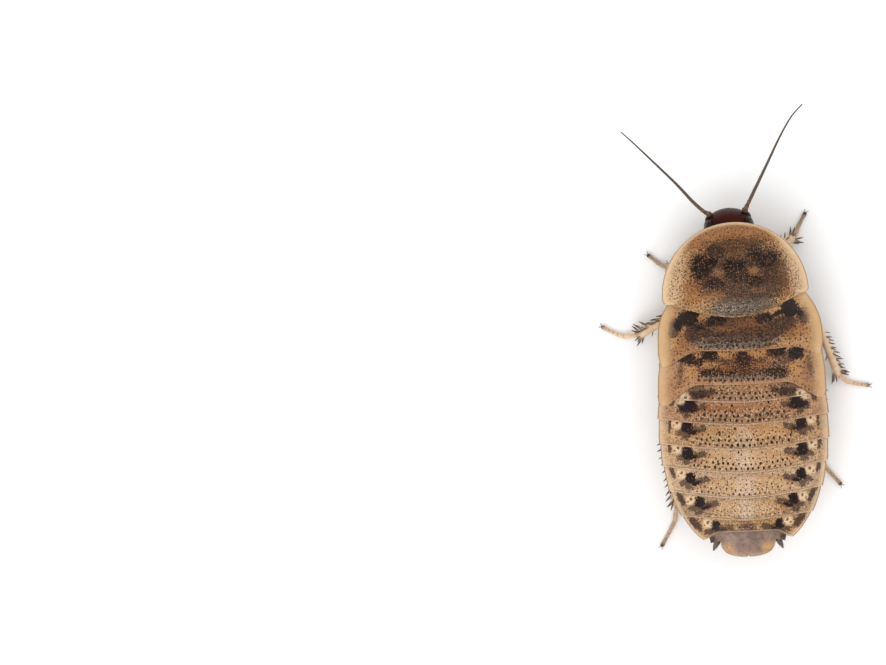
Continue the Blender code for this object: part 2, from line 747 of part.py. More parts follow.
def antennae():
    for name, points in ANTENNAE.items():
        smoothed = curve_through([Vector(point) for point in points], 2)
        last = len(smoothed) - 1
        radii = [mix(ANTENNA_RADII[0], ANTENNA_RADII[1], (i / last) ** 0.8) for i in range(last + 1)]
        tube(name, smoothed, radii, "feeler")


def curve_through(points, steps):
    """Points on a smooth curve through the given points."""
    padded = [points[0] * 2.0 - points[1], *points, points[-1] * 2.0 - points[-2]]
    result = []
    for i in range(1, len(padded) - 2):
        before, a, b, after = padded[i - 1:i + 3]
        for step in range(steps):
            t = step / steps
            square = t * t
            cube = square * t
            result.append((a * 2.0 + (b - before) * t
                           + (before * 2.0 - a * 5.0 + b * 4.0 - after) * square
                           + (a * 3.0 - before - b * 3.0 + after) * cube) * 0.5)
    result.append(points[-1].copy())
    return result


def turn_front(pieces):
    """Turn the head and its shield together."""
    pivot = bpy.data.objects.new("front_turn", None)
    bpy.context.scene.collection.objects.link(pivot)
    pivot.location = FRONT_PIVOT * MM
    pivot.rotation_euler = (0.0, 0.0, FRONT_YAW)
    for piece in pieces:
        piece.parent = pivot
        piece.matrix_parent_inverse = Matrix.Translation(-FRONT_PIVOT * MM)
    return pivot


def centre_on_floor():
    """Put the middle of the footprint over the origin and the feet on z = 0."""
    bpy.context.view_layer.update()
    low = Vector((1.0, 1.0, 1.0))
    high = -low
    pieces = bpy.data.collections["dubia_roach_nymph"].objects
    for piece in pieces:
        for vertex in piece.data.vertices:
            place = piece.matrix_world @ vertex.co
            low = Vector(map(min, low, place))
            high = Vector(map(max, high, place))
    stance = bpy.data.objects.new("stance", None)
    bpy.context.scene.collection.objects.link(stance)
    stance.location = (-(low.x + high.x) / 2.0, -(low.y + high.y) / 2.0, -low.z)
    bpy.data.objects["front_turn"].parent = stance
    for piece in pieces:
        if piece.parent is None:
            piece.parent = stance


def build():
    clear_scene()
    roach = bpy.data.collections.new("dubia_roach_nymph")
    bpy.context.scene.collection.children.link(roach)
    names = list(EDGES)
    back_plate("mesonotum", "pronotum", STEP + 0.1, SHIELD_OVERLAP)
    back_plate("metanotum", "mesonotum", STEP, OVERLAP)
    for name in ABDOMEN:
        abdomen_segment(name, names[names.index(name) - 1])
    tail()
    front = [pronotum(), thorax(), *head()]
    antennae()
    for name in LEGS:
        leg(name)
    turn_front(front)
    centre_on_floor()


build()
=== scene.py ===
import math
import random

import bpy
from mathutils import Matrix, Vector, noise


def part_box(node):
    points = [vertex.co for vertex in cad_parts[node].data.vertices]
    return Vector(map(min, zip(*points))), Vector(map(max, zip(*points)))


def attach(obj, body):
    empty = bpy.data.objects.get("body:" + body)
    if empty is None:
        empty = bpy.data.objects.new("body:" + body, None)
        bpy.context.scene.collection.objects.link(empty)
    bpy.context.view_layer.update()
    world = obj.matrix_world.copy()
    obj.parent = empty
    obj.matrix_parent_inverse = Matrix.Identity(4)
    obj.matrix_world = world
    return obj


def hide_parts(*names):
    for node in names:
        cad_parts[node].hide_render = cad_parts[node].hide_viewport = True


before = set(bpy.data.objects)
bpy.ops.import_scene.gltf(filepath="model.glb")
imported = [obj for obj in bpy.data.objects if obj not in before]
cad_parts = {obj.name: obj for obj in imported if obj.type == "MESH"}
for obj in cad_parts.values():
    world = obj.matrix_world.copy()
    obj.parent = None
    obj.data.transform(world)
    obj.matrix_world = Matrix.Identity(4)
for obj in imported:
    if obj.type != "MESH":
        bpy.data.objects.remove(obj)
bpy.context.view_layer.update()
draw = random.Random(7)
mm = 0.001
upward = Vector((0.0, 0.0, 1.0))
leftRight = (("left", -1.0), ("right", 1.0))

# Pieces are modelled in millimetres, with Y = 0 at the middle of the metanotum's rear edge,
# +Y to the head and the floor at Z = 0. settle() then puts them in the frame, in metres.
tailTip = 15.165
ringLow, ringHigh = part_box("abdomen_segment_3")
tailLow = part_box("supra_anal_plate")[0]
bodyOrigin = Vector(((ringLow[0] + ringHigh[0]) / 2, tailLow[1] + tailTip * mm, 0.0))
frontPivot = Vector((0.0, 3.2, 0.0))
frontYaw = math.radians(3.3)
frontTurn = (Matrix.Translation(frontPivot) @ Matrix.Rotation(frontYaw, 4, "Z")
             @ Matrix.Translation(-frontPivot))


# Helpers for modelling

def pickOnly(*pieces):
    bpy.ops.object.select_all(action="DESELECT")
    for piece in pieces:
        piece.select_set(True)
        bpy.context.view_layer.objects.active = pieces[0]


def justAdded(name):
    piece = bpy.context.active_object
    piece.name = name
    piece.data.name = name
    return piece


def applyPlace(*pieces):
    pickOnly(*pieces)
    bpy.ops.object.transform_apply(location=True, rotation=True, scale=True)


def applyModifier(piece, kind, **settings):
    pickOnly(piece)
    modifier = piece.modifiers.new(kind.lower(), kind)
    for setting, value in settings.items():
        setattr(modifier, setting, value)
    bpy.ops.object.modifier_apply(modifier=modifier.name)


def joinInto(name, pieces):
    pickOnly(*pieces)
    bpy.ops.object.join()
    return justAdded(name)


def ownCopy(piece):
    twin = piece.copy()
    twin.data = piece.data.copy()
    bpy.context.collection.objects.link(twin)
    return twin


def settle(piece, slot, replaced=(), turned=False, angle=40.0):
    # From modelling millimetres to metres in the frame, with the object left at the origin
    piece.matrix_world = (Matrix.Translation(bodyOrigin) @ Matrix.Scale(mm, 4)
                          @ (frontTurn if turned else Matrix.Identity(4)))
    applyPlace(piece)
    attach(piece, "root")
    if replaced:
        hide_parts(*replaced)
    bpy.ops.object.shade_smooth_by_angle(angle=math.radians(angle))


def mix(a, b, t):
    return a + (b - a) * t


def ease(low, high, value):
    t = min(max((value - low) / (high - low), 0.0), 1.0)
    return t * t * (3.0 - 2.0 * t)


def hill(x, y, wide, long):
    # 1 in the middle and about a third at its half width or half length
    return math.exp(-(x / wide) ** 2 - (y / long) ** 2)


def along(stations, y):
    if y <= stations[0][0]:
        return stations[0][1]
    for (lowY, low), (highY, high) in zip(stations, stations[1:]):
        if y <= highY:
            return low + (high - low) * (y - lowY) / (highY - lowY)
    return stations[-1][1]


def softAlong(stations, y, blur=0.7):
    return (along(stations, y - blur) + 2.0 * along(stations, y) + along(stations, y + blur)) / 4.0


def grain(x, y, z, size):
    return noise.noise(Vector((x / size, y / size, z / size)))


def writeMeasure(piece, name, values):
    # One value for each point of the mesh, or the same for all
    if isinstance(values, float):
        values = [values] * len(piece.data.vertices)
    attribute = piece.data.attributes.new(name, "FLOAT", "POINT")
    attribute.data.foreach_set("value", values)


# Form of the trunk, as in the solids

trunk = {
    "halfWidth": 7.5, "taper": 0.033, "tailStart": -3.0, "tailLength": 11.75, "tailPower": 2.3,
    "shoulderY": 4.5, "shoulderLength": 3.0, "shoulderFall": 0.9,
    "domePower": 2.6, "domeFall": 1.1, "marginThick": 0.5,
    "back": ((-15.5, 4.5), (-13.0, 5.6), (-9.0, 7.0), (-4.0, 7.7), (1.0, 7.8), (6.0, 7.4), (9.0, 7.3)),
    "margin": ((-15.5, 3.9), (-8.0, 3.6), (0.0, 3.7), (8.0, 3.8)),
    "belly": ((-15.0, 3.2), (-13.0, 2.9), (-10.0, 2.3), (-7.0, 2.1), (-4.5, 2.6), (-3.0, 3.0), (1.0, 3.1)),
}

# Rear edge of each plate: middle Y, forward rise at the sides, backward reach of the side lobes
plateEdges = {
    "pronotum": (5.93, 1.73, 0.0), "mesonotum": (2.99, 0.25, 1.5), "metanotum": (0.0, 0.3, 1.75),
    "abdomen_segment_1": (-1.6, 0.75, 0.0), "abdomen_segment_2": (-3.57, 0.8, 0.0),
    "abdomen_segment_3": (-5.73, 0.8, 0.0), "abdomen_segment_4": (-7.81, 0.9, 0.0),
    "abdomen_segment_5": (-10.05, 0.9, 0.0), "abdomen_segment_6": (-11.96, 0.6, 0.0),
    "abdomen_segment_7": (-12.94, 0.0, 0.6),
}
plateOrder = list(plateEdges)
edgeCurve = 1.6
# The two lobes that differ from their twins: side, where they begin and end, and how far forward
unevenLobes = {"mesonotum": (1.0, 0.45, 0.85, 0.7), "metanotum": (-1.0, 0.7, 0.98, -0.4)}


def plateAhead(name):
    return plateOrder[plateOrder.index(name) - 1]


def dome(u):
    return max(1.0 - abs(u) ** trunk["domePower"], 0.0) ** trunk["domeFall"]


def halfWidth(y):
    if y < trunk["tailStart"]:
        reach = min((trunk["tailStart"] - y) / trunk["tailLength"], 0.999)
        return trunk["halfWidth"] * (1.0 - reach ** trunk["tailPower"]) ** (1.0 / trunk["tailPower"])
    shoulder = max(y - trunk["shoulderY"], 0.0) / trunk["shoulderLength"]
    return (trunk["halfWidth"] - trunk["taper"] * (y - trunk["tailStart"])
            - trunk["shoulderFall"] * shoulder ** 2)


def rearEdge(name, u):
    middle, rise, lobe = plateEdges[name]
    y = middle + rise * abs(u) ** edgeCurve - lobe * ease(0.5, 1.0, abs(u))
    if name == "pronotum":
        y += math.tan(frontYaw) * trunk["halfWidth"] * u
    if name in unevenLobes:
        side, first, last, forward = unevenLobes[name]
        y += forward * ease(first, last, side * u)
    return y


def trunkTop(u, y):
    low = softAlong(trunk["margin"], y) + trunk["marginThick"]
    return low + (softAlong(trunk["back"], y) - low) * dome(u)


# Shader bench: nodes by name, with sockets or plain values as inputs

paintLight = {"gain": 1.05, "haze": 0.012}
# Marks are (x, y, half width, half length, blur, turn in degrees), and these are the last two
# where a mark leaves them out
markDefaults = (0.6, 0.0)


def tone(red, green, blue):
    # Base colour that comes out near this screen colour under the studio light
    def channel(value):
        value /= 255.0
        light = value / 12.92 if value <= 0.04045 else ((value + 0.055) / 1.055) ** 2.4
        return min(max((light - paintLight["haze"]) / paintLight["gain"], 0.003), 0.95)
    return (channel(red), channel(green), channel(blue), 1.0)


class ShaderBench:
    def __init__(self, tree):
        self.tree = tree

    def add(self, kind, inputs=(), **settings):
        node = self.tree.nodes.new("ShaderNode" + kind)
        for setting, value in settings.items():
            setattr(node, setting, value)
        for key, value in dict(inputs).items():
            if isinstance(value, bpy.types.NodeSocket):
                self.tree.links.new(value, node.inputs[key])
            else:
                node.inputs[key].default_value = value
        return node

    def math(self, operation, first, second=0.0):
        return self.add("Math", {0: first, 1: second}, operation=operation).outputs[0]

    def vector(self, operation, first, second):
        return self.add("VectorMath", {0: first, 1: second}, operation=operation).outputs["Vector"]

    def fall(self, value, start, end, low=0.0, high=1.0):
        node = self.add("MapRange", {"Value": value, "From Min": start, "From Max": end,
                                     "To Min": low, "To Max": high}, interpolation_type="SMOOTHSTEP")
        return node.outputs["Result"]

    def blend(self, factor, first, second):
        return self.add("Mix", {0: factor, 6: first, 7: second}, data_type="RGBA").outputs[2]

    def over(self, colour, tint, mask, strength):
        # Lay a tint over the colour where the mask is
        return self.blend(self.math("MULTIPLY", mask, strength), colour, tint)

    def noise(self, scale, detail=3.0, rough=0.6, vector=None, output="Fac"):
        return self.add("TexNoise", {"Vector": self.place if vector is None else vector, "Scale": scale,
                                     "Detail": detail, "Roughness": rough}).outputs[output]

    def measure(self, name):
        return self.add("Attribute", attribute_name=name).outputs["Fac"]

    def group(self, tree, **inputs):
        return self.add("Group", inputs, node_tree=tree).outputs["Mask"]

    def drift(self, scale, detail, amount):
        # A vector that wanders with the place, half the amount to each side at most
        colour = self.noise(scale, detail, output="Color")
        middled = self.vector("SUBTRACT", colour, (0.5, 0.5, 0.5))
        return self.add("VectorMath", {0: middled, "Scale": amount}, operation="SCALE").outputs["Vector"]

    def warped(self, coarse, fine):
        # The place moved about, so that marks get ragged edges
        return self.vector("ADD", self.vector("ADD", self.place, self.drift(1.5, 3.0, coarse)),
                           self.drift(6.0, 2.0, fine))

    def marks(self, warped, marks):
        # The strongest of several marks
        mask = None
        for mark in marks:
            x, y, width, length, blur, turn = mark + markDefaults[len(mark) - 4:]
            one = self.group(softMark, Vector=warped, Centre=(x, y, 0.0), Width=width, Length=length,
                             Turn=math.radians(turn), Blur=blur)
            mask = one if mask is None else self.math("MAXIMUM", mask, one)
        return mask

    def finish(self, colour, gloss, grit=None, span=(0.3, 0.7), bump=None, relief=None, dented=False,
               glow=None, specular=None):
        # Gloss is one roughness, or two that follow the grit over its span. Bump is a strength and a
        # depth, and glow a weight and the reach of light under the surface, both in millimetres.
        inputs = self.shader.inputs
        self.tree.links.new(colour, inputs["Base Color"])
        if grit is None:
            inputs["Roughness"].default_value = gloss
        else:
            self.tree.links.new(self.fall(grit, *span, *gloss), inputs["Roughness"])
        if bump:
            height = self.add("Bump", {"Height": grit if relief is None else relief, "Strength": bump[0],
                                       "Distance": bump[1] * mm}, invert=dented)
            self.tree.links.new(height.outputs["Normal"], inputs["Normal"])
        if glow:
            inputs["Subsurface Weight"].default_value = glow[0]
            inputs["Subsurface Radius"].default_value = [reach * mm for reach in glow[1]]
            inputs["Subsurface Scale"].default_value = 1.0
        if specular is not None:
            inputs["Specular IOR Level"].default_value = specular
        return self.material


def newPaint(name, turned=False):
    # A material on its bench, with object coordinates in modelling millimetres as its place
    material = bpy.data.materials.new(name)
    material.use_nodes = True
    bench = ShaderBench(material.node_tree)
    bench.material = material
    bench.shader = material.node_tree.nodes["Principled BSDF"]
    shift = bodyOrigin / mm
    yaw = -frontYaw if turned else 0.0
    if turned:
        shift = Matrix.Rotation(yaw, 3, "Z") @ (shift + frontPivot) - frontPivot
    coords = bench.add("TexCoord").outputs["Object"]
    bench.place = bench.add("Mapping", {"Vector": coords, "Location": -shift, "Rotation": (0.0, 0.0, yaw),
                                        "Scale": (1.0 / mm,) * 3}).outputs["Vector"]
    return bench


def maskGroup(name, maskOf, **inputs):
    # A node group with one output, the mask that maskOf makes from the inputs; a vector is given as None
    tree = bpy.data.node_groups.new(name, "ShaderNodeTree")
    for label, value in inputs.items():
        kind = "NodeSocketVector" if value is None else "NodeSocketFloat"
        socket = tree.interface.new_socket(label, in_out="INPUT", socket_type=kind)
        if value is not None:
            socket.default_value = value
    tree.interface.new_socket("Mask", in_out="OUTPUT", socket_type="NodeSocketFloat")
    source = tree.nodes.new("NodeGroupInput")
    result = tree.nodes.new("NodeGroupOutput")
    tree.links.new(maskOf(ShaderBench(tree), source.outputs), result.inputs["Mask"])
    return tree


def softMarkMask(bench, source):
    # One squarish mark of colour, seen from above: pigment, or painted sheen where a layer is one
    square = 2.6
    offset = bench.vector("SUBTRACT", source["Vector"], source["Centre"])
    turned = bench.add("VectorRotate", {"Vector": offset, "Angle": source["Turn"]},
                       rotation_type="Z_AXIS").outputs["Vector"]
    parts = bench.add("SeparateXYZ", {0: turned}).outputs
    total = None
    for part, size in (("X", "Width"), ("Y", "Length")):
        share = bench.math("ABSOLUTE", bench.math("DIVIDE", parts[part], source[size]))
        share = bench.math("POWER", share, square)
        total = share if total is None else bench.math("ADD", total, share)
    reach = bench.math("POWER", total, 1.0 / square)
    outer = bench.math("ADD", 1.0, source["Blur"])
    return bench.fall(reach, outer, bench.math("SUBTRACT", 1.0, source["Blur"]))


def speckleMask(bench, source):
    # Small round dots scattered over the plan at a spacing, only some of them present
    cells = bench.add("TexVoronoi", {"Vector": source["Vector"], "Randomness": 0.9,
                                     "Scale": bench.math("DIVIDE", 1.0, source["Spacing"])},
                      voronoi_dimensions="2D").outputs
    pick = bench.add("SeparateColor", {0: cells["Color"]}).outputs
    size = bench.math("MULTIPLY", source["Size"], bench.fall(pick[1], 0.0, 1.0, 0.6, 1.25))
    dot = bench.fall(cells["Distance"], size, bench.math("MULTIPLY", size, 0.55))
    return bench.math("MULTIPLY", dot, bench.math("LESS_THAN", pick[0], source["Share"]))


def edgeBandMask(bench, source):
    # A soft line that follows an edge at a measured distance from it
    away = bench.math("ABSOLUTE", bench.math("SUBTRACT", source["Distance"], source["Middle"]))
    return bench.fall(away, bench.math("ADD", source["Width"], source["Blur"]), source["Width"])


softMark = maskGroup("softMark", softMarkMask, Vector=None, Centre=None, Width=1.0, Length=1.0, Turn=0.0,
                     Blur=0.35)
speckle = maskGroup("speckle", speckleMask, Vector=None, Spacing=0.3, Size=0.4, Share=0.5)
edgeBand = maskGroup("edgeBand", edgeBandMask, Distance=0.0, Middle=0.1, Width=0.05, Blur=0.03)


def bothSides(*marks):
    pairs = []
    for mark in marks:
        x, y, width, length, blur, turn = mark + markDefaults[len(mark) - 4:]
        pairs += [(x, y, width, length, blur, turn), (-x, y, width, length, blur, -turn)]
    return pairs


# Tones of the back plates. grey is a painted grey sheen at the rear of the notum plates, ash the painted
# sheen on the ripple crests and also pale specks, and rose and lilac a painted pinkish sheen down the middle
# of the rings
shellTones = {
    "ground": tone(196, 154, 106), "ground2": tone(176, 132, 86), "deep": tone(128, 88, 54),
    "dark": tone(38, 26, 24), "plum": tone(74, 52, 46), "brown": tone(92, 62, 44), "rust": tone(156, 98, 54),
    "tan": tone(186, 140, 92), "pale": tone(222, 192, 158), "grey": tone(118, 106, 94),
    "ash": tone(168, 158, 146), "margin": tone(216, 182, 138), "edge": tone(112, 96, 78),
    "rose": tone(214, 182, 152), "dot": tone(52, 36, 28), "white": tone(236, 210, 184),
    "greyBrown": tone(84, 70, 60), "yellow": tone(196, 152, 98), "lilac": tone(212, 184, 160),
    "fleck": tone(224, 192, 156), "umber": tone(66, 46, 38),
}


def paintShell(name, look, turned=False):
    # Colour of one back plate: mottled ground, layered marks, flecks, dots and a clear margin, with painted
    # sheen where the look sets it
    tones = dict(shellTones, **look["tones"])
    bench = newPaint(name, turned)
    fromRear = bench.measure("fromRear")
    fromSide = bench.measure("fromSide")
    broad = bench.noise(0.5, 4.0)
    fine = bench.noise(4.2, 4.0, 0.7)
    grit = bench.noise(6.5, 2.0, 0.7)
    warped = bench.warped(look["ragged"], 0.35)
    ragged = bench.math("MULTIPLY", bench.math("SUBTRACT", grit, 0.5), 2.4)
    inside = bench.fall(fromSide, look["clear"] * 0.3, look["clear"] * 1.8)

    def laid(colour, layers):
        # Marks are broken up by the grit, apart from those that are said to be smooth
        for toneName, strength, marks, *smooth in layers:
            mask = bench.marks(warped, marks)
            if not smooth:
                mask = bench.fall(bench.math("ADD", mask, ragged), 0.36, 0.66)
            colour = bench.over(colour, tones[toneName], mask, strength)
        return colour

    colour = bench.blend(bench.fall(broad, 0.38, 0.62), tones["ground"], tones["ground2"])
    colour = bench.over(colour, tones["deep"], bench.fall(fine, 0.46, 0.66), look["mottle"])
    colour = laid(colour, look["layers"])
    for kind, crestTone, strength in (("ripple", "ash", look.get("paintedSheen")), ("ridges", "rust", 0.3)):
        # Fine wavy ridges, light on the crests and plum in the troughs; in the ripple regions the ash crests
        # are a painted grey sheen, a reflection of the light
        if kind not in look:
            continue
        region = bench.marks(warped, look[kind])
        bent = bench.vector("ADD", bench.place, bench.drift(0.9, 2.0, 1.6))
        waves = bench.add("TexWave", {"Vector": bent, "Scale": 1.25, "Distortion": 2.5, "Detail": 2.0,
                                      "Detail Scale": 2.0}, bands_direction="Y").outputs["Fac"]
        crest = bench.math("MULTIPLY", bench.math("MULTIPLY", region, bench.fall(waves, 0.45, 0.8)),
                           bench.fall(fine, 0.35, 0.6))
        trough = bench.math("MULTIPLY", region, bench.fall(waves, 0.4, 0.1))
        colour = bench.over(colour, tones[crestTone], crest, strength)
        colour = bench.over(colour, tones["plum"], trough, 0.55)
    for toneName, spacing, size, share, strength, region in look["dots"]:
        # Flecks and dots of several sizes, fewer towards the margin
        moved = bench.vector("ADD", bench.place, (spacing * 17.0, spacing * 5.0, 0.0))
        strength = bench.math("MULTIPLY", inside, strength)
        if region:
            strength = bench.math("MULTIPLY", strength, bench.marks(warped, region))
        dots = bench.group(speckle, Vector=moved, Spacing=spacing, Size=size, Share=share)
        colour = bench.over(colour, tones[toneName], dots, strength)
    colour = laid(colour, look.get("over", ()))
    # Lines along the rear edge, then the clear horn margin with its thin edge line
    for toneName, at, width, strength in (("plum", look["lineAt"], 0.03, look["rearLine"]),
                                          ("pale", 0.05, 0.05, look["paleLine"])):
        line = bench.group(edgeBand, Distance=fromRear, Middle=at, Width=width, Blur=0.06)
        colour = bench.over(colour, tones[toneName], line, strength)
    colour = bench.over(colour, tones["margin"], bench.math("SUBTRACT", 1.0, inside), look["clearStrength"])
    if "corner" in look:
        mask = bench.math("ADD", bench.marks(warped, look["corner"]), ragged)
        colour = bench.over(colour, tones["umber"], bench.fall(mask, 0.2, 0.85), 0.9)
    line = bench.group(edgeBand, Distance=fromSide, Middle=0.0, Width=0.05, Blur=0.07)
    colour = bench.over(colour, tones["edge"], line, 0.7)
    relief = bench.math("ADD", grit, bench.math("MULTIPLY", fine, 0.5))
    return bench.finish(colour, (look["rough"] - 0.08, look["rough"] + 0.1), grit, bump=(0.5, 0.05),
                        relief=relief, glow=(0.08, (0.4, 0.2, 0.1)), specular=0.4)


def makeSheet(name, columns, rows, placeOf, material, thickness, lower=False):
    # A grid laid over a form and given its thickness: placeOf(s, t) gives a point and its distances
    # from the rear edge and the side. A lower plate looks down.
    pickOnly()
    bpy.ops.mesh.primitive_grid_add(x_subdivisions=columns, y_subdivisions=rows, size=2.0)
    piece = justAdded(name)
    places = [placeOf(vertex.co.x, vertex.co.y) for vertex in piece.data.vertices]
    for vertex, place in zip(piece.data.vertices, places):
        vertex.co = place[0]
    writeMeasure(piece, "fromRear", [place[1] for place in places])
    writeMeasure(piece, "fromSide", [place[2] for place in places])
    piece.data.materials.append(material)
    if (piece.data.polygons[len(piece.data.polygons) // 2].normal.z < 0.0) != lower:
        piece.data.flip_normals()
    applyModifier(piece, "SOLIDIFY", thickness=thickness, offset=-1.0, use_rim=True)
    return piece


crowding = 0.18


def crowded(s):
    # Grid lines stand closer towards the sides
    return s * (1.0 + crowding - crowding * s * s)


print("stage: helpers and shader groups ready")


# Back plates

plateForm = {
    "columns": 160, "rows": 32, "thick": 0.16, "tuck": 0.6, "drop": 0.24, "tuckDrop": 0.16, "ripple": 0.035,
    "keel": 0.05, "keelWidth": 0.5, "lip": 0.07, "shortest": 0.5,
    "stepOut": 0.1, "frontIn": 0.1, "lobeIn": 0.26, "lobeFrontIn": 0.1,
}


def sideShift(name, share):
    # How far the side of a plate moves out along its length: rounded lobes, or stepped rings
    if name.endswith("notum"):
        return (-plateForm["lobeIn"] * ease(0.78, 1.0, share) ** 1.4
                - plateForm["lobeFrontIn"] * ease(0.42, 0.08, share))
    return (plateForm["stepOut"] * (ease(0.3, 1.0, share) - 0.45)
            - plateForm["frontIn"] * ease(0.3, 0.05, share))


def plateHeight(name, u, y):
    # Top of a tergite or notum: lowest where it comes out from under the plate ahead
    ahead = rearEdge(plateAhead(name), u)
    length = max(ahead - rearEdge(name, u), 0.6)
    behind = ahead - y
    if behind < 0.0:
        depth = plateForm["drop"] + plateForm["tuckDrop"] * min(-behind / plateForm["tuck"], 1.5)
    else:
        depth = plateForm["drop"] * max(1.0 - behind / length, 0.0) ** 1.4
    x = halfWidth(y) * u
    ripple = grain(x, y * 1.6, 3.0, 1.1) * plateForm["ripple"] * (1.0 - abs(u) ** 4)
    return trunkTop(u, y) - depth + ripple + plateForm["keel"] * math.exp(-(x / plateForm["keelWidth"]) ** 2)


def makeBackPlate(name, pieceName, material, tuck):
    def placeOf(s, t):
        u = crowded(s)
        share = (1.0 - t) / 2.0
        rear = rearEdge(name, u)
        front = rearEdge(plateAhead(name), u) + tuck * (1.0 - 0.25 * abs(u) ** 6)
        y = mix(max(front, rear + plateForm["shortest"]), rear, share)
        half = halfWidth(y)
        x = half * u + math.copysign(1.0, u) * sideShift(name, share) * abs(u) ** 9
        z = plateHeight(name, u, y) - plateForm["lip"] * ease(0.93, 1.0, share)
        return Vector((x, y, z)), y - rear, half * (1.0 - abs(u))

    return makeSheet(pieceName, plateForm["columns"], plateForm["rows"], placeOf, material,
                     plateForm["thick"])


# Rows are (distance ahead of the rear edge, pitch, size), with shares of the spacing and of a granule
granuleForm = {
    "radius": 0.135, "height": 0.07, "longer": 1.25, "sink": 0.012, "spacing": 0.5,
    "rows": ((0.37, 1.0, 1.0), (0.78, 1.0, 0.92), (1.25, 1.35, 0.65)),
}


def makeGranule():
    radius = granuleForm["radius"]
    pickOnly()
    bpy.ops.mesh.primitive_uv_sphere_add(segments=9, ring_count=6, radius=1.0)
    granule = justAdded("granule")
    bpy.ops.object.mode_set(mode="EDIT")
    bpy.ops.mesh.select_all(action="SELECT")
    bpy.ops.transform.resize(value=(radius, radius * granuleForm["longer"], granuleForm["height"]))
    bpy.ops.object.mode_set(mode="OBJECT")
    return granule


def paintGranule(name, light, dark):
    bench = newPaint(name)
    return bench.finish(bench.blend(bench.fall(bench.noise(2.5, 2.0), 0.35, 0.65), dark, light), 0.38)


def strewGranules(plate, name, spots, horn):
    # One granule for each (x, y, size), standing on the plate and joined to it
    granule = makeGranule()
    granule.data.materials.append(horn)
    copies = []
    step = 0.01
    for x, y, size in spots:
        twin = ownCopy(granule)
        u = x / halfWidth(y)
        twin.location = (x, y, plateHeight(name, u, y) - granuleForm["sink"])
        rise = plateHeight(name, u + step, y) - plateHeight(name, u - step, y)
        twin.rotation_euler = (0.0, -math.atan(rise / (2.0 * step * halfWidth(y))), 0.0)
        twin.scale = (size, size, size)
        copies.append(twin)
    bpy.data.objects.remove(granule, do_unlink=True)
    applyPlace(*copies)
    return joinInto(plate.name, [plate, *copies])


def granuleSpots(name, reach, sparse, scale):
    # Alternating rows near the rear edge and a few granules strewn ahead of them
    spots = []
    rear = plateEdges[name][0]
    span = plateEdges[plateAhead(name)][0] - rear
    for row, (ahead, pitchShare, size) in enumerate(granuleForm["rows"]):
        if ahead > span - 0.3:
            continue
        pitch = granuleForm["spacing"] * pitchShare * (0.5 + 0.5 * scale)
        for i in range(int(2 * reach / pitch)):
            x = -reach + (i + 0.5 * row + 0.25) * pitch + draw.uniform(-0.09, 0.09)
            y = rearEdge(name, x / halfWidth(rear)) + ahead + draw.uniform(-0.06, 0.06)
            spots.append((x, y, draw.uniform(0.7, 1.1) * size * scale))
    for _ in range(sparse):
        x = draw.uniform(-reach * 1.1, reach * 1.1)
        y = rearEdge(name, x / halfWidth(rear)) + draw.uniform(0.95, max(span - 0.2, 1.0))
        spots.append((x, y, draw.uniform(0.5, 0.85) * scale))
    return spots


